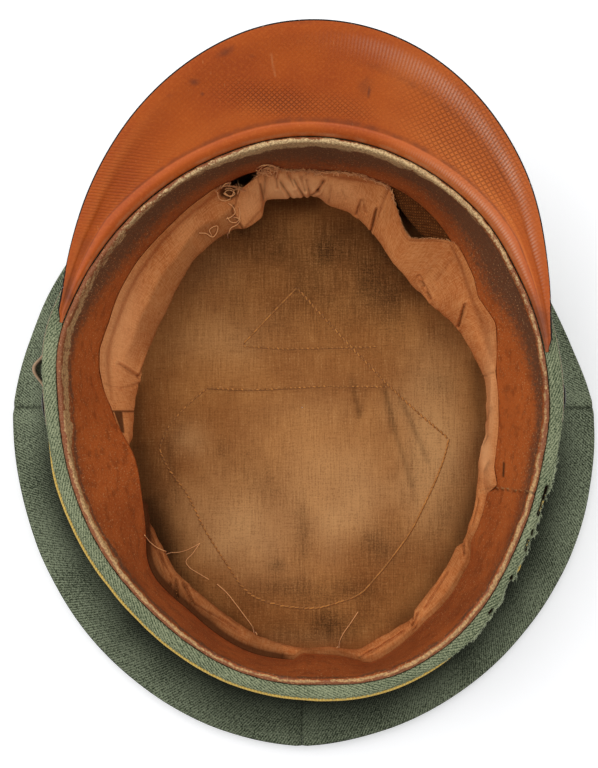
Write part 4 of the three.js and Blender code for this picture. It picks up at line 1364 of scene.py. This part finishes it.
FLOOR_SHADOWS = (
    # x and y of both ends in the photograph, width in pixels, strength
    (134, 400, 138, 450, 9, 0.5), (138, 450, 147, 505, 16, 0.6), (147, 505, 164, 552, 19, 0.8),
    (164, 552, 190, 590, 12, 0.55), (480, 490, 464, 540, 15, 0.6), (464, 540, 440, 585, 14, 0.5),
    (440, 585, 400, 625, 11, 0.4), (262, 202, 312, 202, 10, 0.5), (386, 392, 398, 440, 2, 0.3),
    (398, 440, 412, 486, 2.4, 0.28), (404, 404, 428, 462, 2.4, 0.26), (352, 382, 360, 416, 2, 0.18),
    (478, 365, 483, 440, 10, 0.45), (483, 440, 480, 490, 12, 0.5), (244, 228, 264, 208, 10, 0.5),
    (150, 300, 180, 262, 8, 0.35), (372, 230, 420, 290, 12, 0.4), (190, 590, 262, 640, 6, 0.4),
)
FLOOR_CREASES = (
    # x and y of both ends in the photograph, width in pixels, depth
    (352, 378, 360, 416, 3, 0.7), (384, 386, 394, 432, 3, 0.8), (398, 392, 420, 440, 3.2, 0.6),
    (366, 392, 362, 412, 2.4, 0.5), (303, 505, 304, 560, 2.6, 0.4), (412, 440, 416, 500, 3.5, 0.5),
    (166, 440, 176, 500, 4, 0.6), (230, 352, 380, 351, 2.2, 0.35), (210, 391, 390, 391, 2.2, 0.35),
    (186, 660, 190, 690, 3, 0.3),
)


def floor_height(share):
    table = np.array([(0, 3.2), (0.5, 3.7), (0.9, 3.2), (1, 5.1)])
    return np.interp(share, table[:, 0], table[:, 1])


def lining_floor():
    shares = np.concatenate([[0.002], np.linspace(0.010, 0.9, 92), np.linspace(0.91, 1, 10)])
    back_shares = np.concatenate([np.linspace(1, 0.87, 6), [0.5, 0.002]])
    back_heights = floor_height(back_shares) - 1.0

    def edge(turn):
        return rim_out(turn) + LINING["foot_out"] - 0.3

    rows, back_rows = (shares, floor_height(shares)), (back_shares, back_heights)
    turn, face, back = oval_sheet("floor", edge, rows, back_rows)
    x, y = seen(face)
    inner = (1 - eased(0.86, 0.95, shares))[None, :]
    wave = 0.35 * noise(face, 17, 71) + 0.2 * noise(face, 7, 72)
    down = strokes(x, y, FLOOR_CREASES, np.zeros(face.shape[:2]), np.add)
    face[..., 2] += inner * (wave - down) + 0.45
    stain_and_shade, bright = np.zeros(face.shape[:2]), np.zeros(face.shape[:2])
    stain_and_shade = spots(x, y, FLOOR_STAINS_AND_SHADE, stain_and_shade, np.add)
    bright = spots(x, y, FLOOR_LIGHTS, bright, np.add)
    shade = strokes(x, y, FLOOR_SHADOWS, np.zeros(face.shape[:2]))
    # stains and painted shade, with more painted shade along the creases
    stain_and_shade = np.clip(stain_and_shade * (0.8 + 0.7 * noise(face, 9, 73)) + 0.25 * down, 0, 0.85)
    bright = np.clip(bright * (0.9 + 0.5 * noise(face, 12, 74)), 0, 0.8)
    rust = np.clip(0.4 * eased(0.90, 0.99, shares)[None, :] + 0 * x, 0, 1)
    marks = with_back({"stain_and_shade": stain_and_shade, "bright": bright, "rust": rust, "shade": shade}, back)
    mesh = oval_mesh("lining_top", face, back, marks)
    obj = add("lining_top_linen", mesh, [linen], ["lining_top"])
    return face


floor_face = lining_floor()


# Peak: tan lacquer below, black above, rolled along the rim and beaded along its edge

PEAK_SMUDGES = (
    # x and y in the photograph, half width and half height in pixels, lean, strength
    (225, 52, 14, 6, -28, 0.66), (194, 82, 7, 5, 0, 0.7), (202, 94, 3, 3, 0, 0.8),
    (366, 85, 14, 21, 10, 0.5), (369, 92, 2, 9, 8, 0.85), (170, 96, 6, 4, 0, 0.4),
    (252, 56, 5, 3, 0, 0.5), (340, 34, 16, 4, 10, 0.4), (283, 108, 6, 4, 0, 0.4),
    (500, 150, 10, 20, -20, 0.3), (155, 128, 12, 5, -30, 0.25), (350, 28, 10, 4, 10, 0.35),
    (470, 120, 14, 8, 30, 0.3), (300, 22, 30, 3, 0, 0.45), (541, 328, 12, 44, -8, 0.85),
    (68, 294, 8, 32, 12, 0.8), (84, 250, 16, 44, 18, 0.42), (300, 40, 70, 14, 0, 0.3),
    (240, 130, 60, 12, -14, 0.25), (310, 128, 60, 7, 0, 0.3), (450, 190, 26, 40, -40, 0.2),
    (528, 308, 12, 28, 0, 0.7),
)
PEAK_GRIDS = ((276, 101, 58, 17, 10, 0.85), (340, 108, 40, 14, 14, 0.5), (390, 80, 40, 40, 10, 0.15))

# Embossed fields, places of painted light and one scrape of the peak, at pixels of the photograph
PEAK_CROSS = (470, 150, 46, 80, -35)
PEAK_LINES = (118, 190, 46, 66, 24)
PEAK_PAINTED_LIGHTS = ((475, 160, 55, 90, -30, 0.36), (405, 75, 22, 22, 0, 0.2))
PEAK_SCRAPE = (271, 54, 275, 76)


def peak():
    turn = np.linspace(PEAK["turn"] - PEAK["half_turn"], PEAK["turn"] + PEAK["half_turn"], TURNS["peak"])
    t = turn[:, None]
    across = (turn - PEAK["turn"]) / PEAK["half_turn"]
    share = np.maximum(np.cos(np.pi / 2 * across), 0) ** PEAK["taper"]
    reach = mixed(PEAK["corner"], PEAK["reach"] + 0.8, share)
    reach = reach * mixed(0.3, 1, eased(0, 0.035, 1 - np.abs(across)))
    slope = mixed(PEAK["corner_slope"], PEAK["slope"], share)
    fade = np.minimum(1, reach / PEAK["fade"])
    roll = 0.64 * PEAK["roll"] * fade
    bead = reach - PEAK["bead_in"] * fade

    def at(along, lift):
        out = rim_out(turn) + PEAK["inner_out"] + along
        return out, rim_up(turn) + PEAK["lift"] + slope * along + lift * fade

    rise = 0.82 * PEAK["roll_rise"]
    controls = [
        at(-0.6 + 0 * roll, -0.7), at(roll * 0.05, rise * 0.35), at(roll * 0.26, rise * 0.8),
        at(roll * 0.55, rise * 0.9), at(roll * 0.9, rise * 0.4), at(roll * 1.25, -0.25),
        at(mixed(roll, bead, 0.4), -0.35), at(mixed(roll, bead, 0.72), -0.1),
        at(bead, PEAK["bead_rise"]), at(mixed(bead, reach, 0.5), 0.75),
        at(reach - 0.42 * fade, 0.4), at(reach + 0.3 * fade, 0.1),
    ]
    counts = (3, 4, 5, 5, 5, 12, 12, 10, 6, 5, 3)
    out, up = filled(controls, counts)
    downwards = np.stack([slope, -np.ones_like(slope)])
    downwards = downwards / np.hypot(*downwards)
    back = []
    for along in (1.0, 0.985, 0.9, 0.6, 0.3, 0.1, 0.0):
        thick = mixed(PEAK["thick"], PEAK["edge"], along) * fade
        thick = thick * (0.4 if along == 1.0 else 1.0)
        o, u = at(along * reach, 0)
        back.append((o + thick * downwards[0], u + thick * downwards[1]))
    back_out, back_up = filled(back, (3, 4, 6, 6, 5, 4))
    face, back = place(t, out, up), place(t, back_out, back_up)
    x, y = seen(face)
    face[..., 2] += 0.15 * noise(face, 22, 81) + 0.06 * noise(face, 8, 82)
    smudge_and_shade = spots(x, y, PEAK_SMUDGES, np.zeros(face.shape[:2]))
    grid = spots(x, y, PEAK_GRIDS, np.full(face.shape[:2], 0.10))
    column = np.arange(face.shape[1])[None, :]
    first, last, bead_column = sum(counts[:3]), sum(counts[:5]), sum(counts[:8])
    right = eased(75, 45, t)
    # painted highlight along the roll's crest, strongest at the right, with rubbed lacquer; below, rubbed
    # lacquer near the rim
    rub = (0.02 + 0.2 * right) * near(column - first, 5.0) * (0.8 + 0.4 * noise(face, 10, 83))
    rub = rub + 0.7 * near(column - 3, 2.4) * (0.6 + 0.6 * noise(face, 3, 84))
    # painted highlights on the ribs along the bead, and on the roll at the right
    painted_glints = 0.62 * near(column - bead_column + 1, 4.5) * eased(92, 62, t)
    painted_glints = painted_glints * (0.8 + 0.4 * noise(face, 12, 85))
    painted_glints = painted_glints + 0.5 * right * near(column - first + 1, 4.0)
    painted_glints = 0.85 * painted_glints * eased(16, 36, t)
    # painted shade in the valley beside the roll and along the inside of the bead
    smudge_and_shade = np.maximum(smudge_and_shade, 0.62 * near(column - last, 2.4))
    smudge_and_shade = np.maximum(smudge_and_shade, 0.42 * eased(100, 70, t) * near(column - bead_column + 9, 3.0))
    field = np.maximum(eased(last - 2, last + 4, column), 0.4 * right)
    steps = np.linalg.norm(np.diff(face[:, bead_column], axis=0), axis=1)
    along = np.concatenate([[0], np.cumsum(steps)])[:, None] + 0 * column
    scrape, _ = to_segment(x, y, *PEAK_SCRAPE)
    marks = {
        "smudge_and_shade": smudge_and_shade, "grid": grid * field, "rub": np.clip(rub, 0, 1), "bead": painted_glints, "along": along,
        "cross": 0.7 * field * np.clip(1.3 * spot(x, y, *PEAK_CROSS), 0, 1),
        "lines": 0.45 * field * spot(x, y, *PEAK_LINES), "scrape": 0.28 * near(scrape, 0.8),
        # painted light on the lit field, past the valley and on the bead at the left
        "glow": spots(x, y, PEAK_PAINTED_LIGHTS, 0, np.add)
        + (0.1 + 0.25 * right) * near(column - last - 6, 4.0)
        + 0.18 * eased(110, 130, t) * near(column - bead_column, 5.0),
    }
    marks = with_back(marks, back)
    points = np.concatenate([face, back], 1)
    rows, columns = points.shape[:2]
    faces = grid_faces(rows, columns, False, True)
    flat = points[..., :2].reshape(-1, 2)
    ends = np.arange(columns // 2 - 1)
    cap = np.stack([ends, ends + 1, columns - 2 - ends, columns - 1 - ends], -1)
    faces = np.concatenate([faces, cap, cap + (rows - 1) * columns])
    mesh = mesh_from("peak", points, faces, flat[faces.reshape(-1)], marks)
    near_tip = np.rint(7 * eased(0.82, 0.98, np.abs(across[:-1]))).astype(int)
    edge_column = face.shape[1] - 3 - near_tip[:, None]
    of_quad = np.arange(columns)[None, :]
    black = ((of_quad >= edge_column) & (of_quad < columns - 1)).reshape(-1)
    index = np.concatenate([black.astype(np.int32), np.ones(2 * len(cap), np.int32)])
    add("peak_leather", mesh, [lacquer, black_edge], ["peak"])
    mesh.polygons.foreach_set("material_index", index)


peak()


# Chin strap and its studs

def chin_strap():
    kink = np.linspace(KINK["turn"] - KINK["half_turn"], KINK["turn"] + KINK["half_turn"], TURNS["kink"])
    run = np.linspace(STRAP["first"], kink[0], TURNS["strap"])
    end = np.linspace(kink[-1], STRAP["last"], TURNS["strap_end"])
    turn = np.concatenate([run, kink[1:], end[1:]])
    off = np.minimum(1, np.abs(turn - KINK["turn"]) / KINK["half_turn"])
    bow = KINK["out"] * np.cos(np.pi / 2 * off) ** KINK["sharpness"]
    inner = rim_out(turn) + BAND["face_out"] + GAP + bow
    outer = inner + STRAP["thick"]
    top = rim_up(turn) - STRAP["drop"]
    low = top - STRAP["wide"]
    edge = ((0.5, 0), (0.05, 0.45), (0, 1.4), (0.12, 1.9), (0, 2.5))
    face = [(outer - inset, top - down) for inset, down in edge]
    face.append((outer, mixed(top, low, 0.5)))
    face += [(outer - inset, low + down) for inset, down in edge[::-1]]
    out, up = filled(face, (2, 2, 2, 2, 4, 4, 2, 2, 2, 2))
    back_out = np.broadcast_to(inner[:, None], out.shape)
    face, back = place(turn[:, None], out, up), place(turn[:, None], back_out, up)
    column = np.arange(out.shape[1])[None, :]
    edges = (column < 2) | (column > out.shape[1] - 3)
    raw = 0.9 * edges + 0 * turn[:, None]
    marks = {"raw": np.concatenate([raw, 0.1 * np.ones(back.shape[:2])], 1)}
    mesh = shell("chin_strap", np.concatenate([face, back[:, ::-1]], 1), False, marks, 12)
    add("chin_strap_leather", mesh, [strap_finish()], ["chin_strap"])


chin_strap()


def stud(node, turn, finish):
    up = rim_up(turn) - STRAP["drop"] - STRAP["wide"] / 2

    def seat(angle):
        angle = np.array(float(angle))
        return place(angle, rim_out(angle) + BAND["face_out"] + GAP, up)

    along = unit(seat(turn + 1) - seat(turn - 1))
    upward = np.array([0, 0, 1.0])
    outward = np.cross(along, upward)
    base = STRAP["thick"] + GAP
    shank, head = STUD["shank"], STUD["head"]
    profile = np.array([
        (0.02, 0), (shank, 0), (shank, base), (head - 0.25, base), (head, base + 0.15), (head, base + 0.35),
        (head - 0.2, base + 0.5), (3.9, base + 0.56), (3.7, base + 0.52), (3.4, base + 0.66),
        (2.6, base + 0.88), (1.6, base + 1.02), (0.7, base + 1.09), (0.02, base + STUD["rise"]),
    ])
    angle = np.linspace(0, 2 * np.pi, TURNS["stud"], endpoint=False)[:, None, None]
    radius, rise = profile[None, :, :1], profile[None, :, 1:]
    points = seat(turn) + radius * (np.cos(angle) * along + np.sin(angle) * upward) + rise * outward
    faces = grid_faces(TURNS["stud"], len(profile), True, False)
    flat = np.stack([radius * np.cos(angle), radius * np.sin(angle)], -1).reshape(-1, 2)
    mesh = mesh_from(node, points, faces, flat[faces.reshape(-1)], None)
    add(node + "_dome", mesh, [finish], [node])


stud_metal = metal_finish()
for node, turn in STUD_TURNS.items():
    stud(node, turn, stud_metal)


# Sewing threads, frayed fibres and loose ends

def cloud(*grids):
    points = np.concatenate([g.reshape(-1, 3) for g in grids])
    return points, np.stack(seen(points), -1)


FLOOR_CLOUD = cloud(floor_face)
INSIDE_CLOUD = cloud(floor_face, lining_face, leather_face)


def on_top(x, y, surface, lift, reach=1.6):
    """The point on the highest surface that shows at a pixel, lifted a little."""
    points, pixels = surface
    off = np.hypot(pixels[:, 0] - x, pixels[:, 1] - y)
    close = off < max(reach, off.min() + 0.3)
    return under_pixel(x, y, points[close, 2].max() + lift)


def curve(points, step):
    """Smooth line through pixels, with a point every step."""
    points = np.asarray(points, float)
    at = np.concatenate([[0], np.cumsum(np.hypot(*np.diff(points, axis=0).T))])
    slope = np.gradient(points, at, axis=0)
    s = np.linspace(0, at[-1], max(3, int(at[-1] / step)))
    i = np.clip(np.searchsorted(at, s, side="right") - 1, 0, len(at) - 2)
    span = (at[i + 1] - at[i])[:, None]
    u = (s[:, None] - at[i][:, None]) / span
    return bent(points[i], points[i + 1], slope[i], slope[i + 1], span, u)


STITCH_LINES = (
    # smooth, stitch length in pixels, gap, then the line
    (False, 3.6, 1.6, ((295.6, 289), (268, 317.5), (241.7, 345.4))),
    (False, 3, 1.9, ((243, 346), (285, 349), (377, 346.5))),
    (False, 3.8, 1.5, (
        (298, 289), (322, 315.6), (349.6, 345.4), (388.6, 385.6), (418.4, 413), (448.3, 438.4),
    )),
    (True, 4.2, 1, (
        (448.5, 440), (445, 454.5), (437, 477), (425, 503), (411.5, 530), (395.5, 553), (377, 576),
        (359, 594.5), (338, 602.5), (315, 608), (292, 607), (269, 602.5), (251, 594.5), (239, 583),
    )),
    (True, 4, 1.2, (
        (239, 583), (221, 555.5), (205, 530), (186.6, 493.5), (166, 464), (160, 447.6), (163.6, 436),
        (177.4, 415.4), (193.5, 399.4), (207, 388),
    )),
    (False, 3, 1.9, ((207, 388), (250, 390), (330, 386), (389, 387))),
)


# One stitch: shares of its length, its tilt in pixels and its rise there,
# and the radius of its thread and of the dark strand sunk below and beside it, which is painted shade of
# the stitch groove
STITCH = {
    "shares": np.array([0.0, 0.18, 0.5, 0.82, 1.0]), "tilt": np.array([-1.0, -0.6, 0.0, 0.6, 1.0]),
    "lifts": np.array([-0.15, 0.20, 0.34, 0.20, -0.15]), "radius": 0.32, "under": 0.24,
}


def straight(line, step):
    """Straight pieces between pixels, with a point every step."""
    counts = [max(2, int(math.dist(a, b) / step)) for a, b in zip(line, line[1:])]
    return np.concatenate([
        np.linspace(a, b, count, endpoint=False) for a, b, count in zip(line, line[1:], counts)
    ])


def sewing():
    bundle = Bundle()
    rng = np.random.default_rng(7)
    for smooth, long, gap, line in STITCH_LINES:
        path = curve(line, 0.5) if smooth else straight(line, 0.5)
        at = np.concatenate([[0], np.cumsum(np.hypot(*np.diff(path, axis=0).T))])
        under = [on_top(x + 0.3, y + 0.6, FLOOR_CLOUD, -0.06) for x, y in path[::5]]
        # a dark strand half sunk in the floor beside the stitches, as painted shade of their groove
        bundle.strand(under, STITCH["under"], 5, 0, 0.15)
        s = 0.0
        while s + long < at[-1]:
            size = long * rng.uniform(0.85, 1.1)
            marks = s + size * STITCH["shares"]
            xs, ys = np.interp(marks, at, path[:, 0]), np.interp(marks, at, path[:, 1])
            tilt = rng.uniform(0.3, 0.7) * STITCH["tilt"]
            xs, ys = xs - tilt, ys + tilt + rng.normal(0, 0.12)
            middle = on_top(xs[2], ys[2], FLOOR_CLOUD, 0.0)[2]
            stitch = [under_pixel(a, b, middle + c) for a, b, c in zip(xs, ys, STITCH["lifts"])]
            bundle.strand(stitch, STITCH["radius"], 6, 0, rng.uniform(0.4, 1))
            s += size + gap * rng.uniform(0.8, 1.2)
    finish = thread_finish("tan_thread", "6a3c14", "cc8a40")
    add("lining_floor_stitches", bundle.mesh("lining_floor_stitches"), [finish])


sewing()

LOOSE_THREADS = (
    # lift above what it lies on, then the pixels that it passes
    (0.35, (
        (144.5, 535), (151, 543), (161, 549.5), (172, 552.5), (184, 551), (194, 546.5), (200, 543),
    )),
    (0.35, ((200, 543), (193, 553), (186, 562.5), (189, 567), (198, 573), (209, 579.5))),
    (0.3, ((217, 584), (226, 592), (235, 603), (244, 615), (252, 626), (257, 634.5))),
    (0.3, ((358, 612), (350, 624), (343, 634), (337, 648))),
    (0.45, (
        (199, 233), (206, 233.5), (213, 237), (217, 232), (217.5, 226), (213, 227), (209.5, 230),
        (212, 236),
    )),
    (0.5, ((226, 219), (231, 217), (235, 213), (233, 207), (228, 203))),
    (0.5, ((233, 217), (240, 219.5), (238, 224), (231, 228), (228, 238))),
    (0.5, ((227, 217), (231, 222), (237, 222), (240, 215), (239, 207))),
    (0.7, ((224, 193), (231, 196.5), (235, 194), (229, 190), (225, 192), (231, 197.5))),
    (0.6, (
        (258, 172), (263, 166.5), (270, 165), (275, 168.5), (274, 173), (268, 175.5), (262, 173),
        (262, 169),
    )),
    (0.7, ((262, 176), (266, 169), (272, 166), (277, 170), (276, 178))),
    (0.6, ((256, 170), (262, 173.5), (270, 171), (278, 171.5))),
)

NEST_THREADS = (
    # the same, for the curled threads at the torn corner
    (0.9, (
        (222.5, 186.7), (225.8, 183.7), (231.7, 183), (238.3, 184.2), (239.2, 188.3), (237.5, 194.2),
    )),
    (0.9, ((223.3, 193.3), (227.5, 195.8), (232.5, 195), (234.2, 189.2))),
    (1, ((225, 189.2), (230, 188.3), (233.7, 190.3), (232.5, 195))),
    (0.8, ((217.5, 192.5), (219.2, 198.7), (224.2, 200.8), (230.8, 198.7))),
    (0.9, ((256.7, 168.3), (261.7, 165.8), (268.3, 165), (275, 166.7), (278.3, 170.8))),
    (1, ((263.3, 169.2), (268.3, 167.5), (270.8, 170.8), (267.5, 174.2), (263.3, 172.5))),
    (1, ((270, 171.7), (271.7, 175.8), (268.3, 176.7), (266, 173))),
)


def loose_ends():
    bundle = Bundle()
    rng = np.random.default_rng(11)
    for lift, line in LOOSE_THREADS + NEST_THREADS:
        path = [on_top(x, y, INSIDE_CLOUD, lift) for x, y in curve(line, 1.4)]
        path = np.array(path)
        for _ in range(3):
            path[1:-1, 2] = np.maximum(path[1:-1, 2], (path[:-2, 2] + path[2:, 2]) / 2)
        bundle.strand(path, 0.22, 5, 0.2, rng.uniform(0.75, 1.0))
    return bundle


def edge_frame(grid, i, column, inner):
    """A point of an edge, the way along the edge and the way out of the sheet there."""
    root = grid[i, column]
    away = root - grid[i, inner]
    return root, unit(grid[(i + 2) % len(grid), column] - root), away / max(np.linalg.norm(away), 1e-6)


def frayed_edge(bundle, rng, rows, grid, column, turns, per_degree, length, lean):
    """Short fibres along one line of a grid, sticking out from the raw edge."""
    for turn in np.arange(turns[0], turns[1], 1 / per_degree):
        i = int(np.argmin(np.abs((rows - turn - rng.uniform(-0.4, 0.4) + 180) % 360 - 180)))
        root, along, away = edge_frame(grid, i, column, column + 3 * lean)
        size = length * rng.uniform(0.3, 1.3)
        bend = rng.normal(0, 0.9)
        path = []
        for share in np.linspace(0, 1, 5):
            arch = np.array([0, 0, 0.35 * math.sin(share * 3.0)])
            step = away * share + along * bend * share * share + arch
            path.append(root + np.array([0, 0, 0.15]) + size * step + rng.normal(0, 0.06, 3) * share)
        bundle.strand(path, 0.12, 4, 0.5, rng.uniform(0.2, 1.0))


def fringe(bundle, rng, turns, count, length):
    """Curled threads of a raw edge of the lining, lying every way over the leather."""
    for turn in rng.uniform(turns[0], turns[1], count):
        i = int(np.argmin(np.abs(lining_turns - turn)))
        root, along, away = edge_frame(lining_face, i, 0, 7)
        inward = unit(-root * np.array([1.0, 1.0, 0]))
        angle = rng.uniform(-0.4, np.pi + 0.4)
        size = length * rng.uniform(0.3, 1.0)
        curl = rng.normal(0, 2.2)
        path = [root + along * rng.normal(0, 0.3) + 0.3 * inward - 0.3 * away]
        for _ in range(6):
            step = math.cos(angle) * along + (0.3 + 0.7 * math.sin(angle)) * away
            path.append(path[-1] + size / 6 * (step + inward * rng.normal(0.25, 0.25)))
            angle += curl / 6
        bundle.strand(path, 0.15, 4, 0.3, rng.uniform(0.1, 1.0))


FRINGES = (
    # turns where a raw edge of the lining curls out in threads, their number and their length
    ((63, 99), 330, 4.0), ((97, 104), 110, 4.5), ((107, 113), 70, 4.0),
)

# Turns of a frayed edge, fibres in a degree and their length, at the notch and along the band's strip
NOTCH_FRAY = ((44, 62), 4, 0.8)
STRIP_FRAYS = (((309, 350), 14, 1.2), ((0, 360), 2, 0.6))
STRIP_EDGE = 21


def fibres():
    rng = np.random.default_rng(23)
    bundle = loose_ends()
    for turns, count, length in FRINGES:
        fringe(bundle, rng, turns, count, length)
    frayed_edge(bundle, rng, lining_turns, lining_face, 0, *NOTCH_FRAY, 1)
    finish = thread_finish("cotton_thread", "a65820", "f4b474")
    add("lining_loose_threads", bundle.mesh("lining_loose_threads"), [finish])
    wool = Bundle()
    band_turns = all_round("band")
    for fray in STRIP_FRAYS:
        frayed_edge(wool, rng, band_turns, band_face, STRIP_EDGE, *fray, -1)
    finish = thread_finish("wool_fibre", "5f6b52", "a9b08c")
    add("band_fibres", wool.mesh("band_fibres"), [finish])


fibres()


# The stage: floor, light and the camera of the photograph

def plain(name, colour, roughness, glow):
    f = Finish(name, Roughness=roughness, Emission_Color=linear(colour), Emission_Strength=glow)
    f.colour(colour)
    return f.material


# The white ground, in metres, and the light of the room
STAGE = {"floor": "fafafc", "floor_glow": 0.25, "size": 4.0, "drop": 0.0004, "light": 0.38}


def stage():
    mesh = bpy.data.meshes.new("floor")
    size, down = STAGE["size"], -STAGE["drop"]
    corners = [(x * size, y * size, down) for x, y in ((-1, -1), (1, -1), (1, 1), (-1, 1))]
    mesh.from_pydata(corners, [], [(0, 1, 2, 3)])
    mesh.materials.append(plain("pale_floor", STAGE["floor"], 0.9, STAGE["floor_glow"]))
    floor = bpy.data.objects.new("floor", mesh)
    bpy.context.scene.collection.objects.link(floor)
    world = bpy.data.worlds.new("studio")
    world.use_nodes = True
    world.node_tree.nodes["Background"].inputs["Color"].default_value = (1.0, 1.0, 1.0, 1.0)
    world.node_tree.nodes["Background"].inputs["Strength"].default_value = STAGE["light"]
    bpy.context.scene.world = world


# Two soft lights above the front: their places in metres and their power in watts
LIGHTS = (("left", (-0.65, 0.35, 1.38), 14), ("right", (0.65, 0.35, 1.38), 8))
LIGHT_AIM = (0, 0, 0.05)
LIGHT_SIZE = 1.2


def soft_light(name, place_at, aim, size, power):
    data = bpy.data.lights.new(name, "AREA")
    data.size = size
    data.energy = power
    obj = bpy.data.objects.new(name, data)
    bpy.context.scene.collection.objects.link(obj)
    obj.location = place_at
    direction = Vector(aim) - Vector(place_at)
    obj.rotation_euler = direction.to_track_quat("-Z", "Y").to_euler()


def camera():
    data = bpy.data.cameras.new("camera")
    data.sensor_width = VIEW["sensor"]
    data.lens = VIEW["sensor"] * VIEW["focal"] / VIEW["tall"]
    obj = bpy.data.objects.new("camera", data)
    bpy.context.scene.collection.objects.link(obj)
    obj.location = (VIEW["x"] * MM, VIEW["y"] * MM, VIEW["height"] * MM)
    bpy.context.scene.camera = obj


stage()
for name, place_at, power in LIGHTS:
    soft_light(name, place_at, LIGHT_AIM, LIGHT_SIZE, power)
camera()
bpy.context.scene.view_settings.view_transform = "Standard"
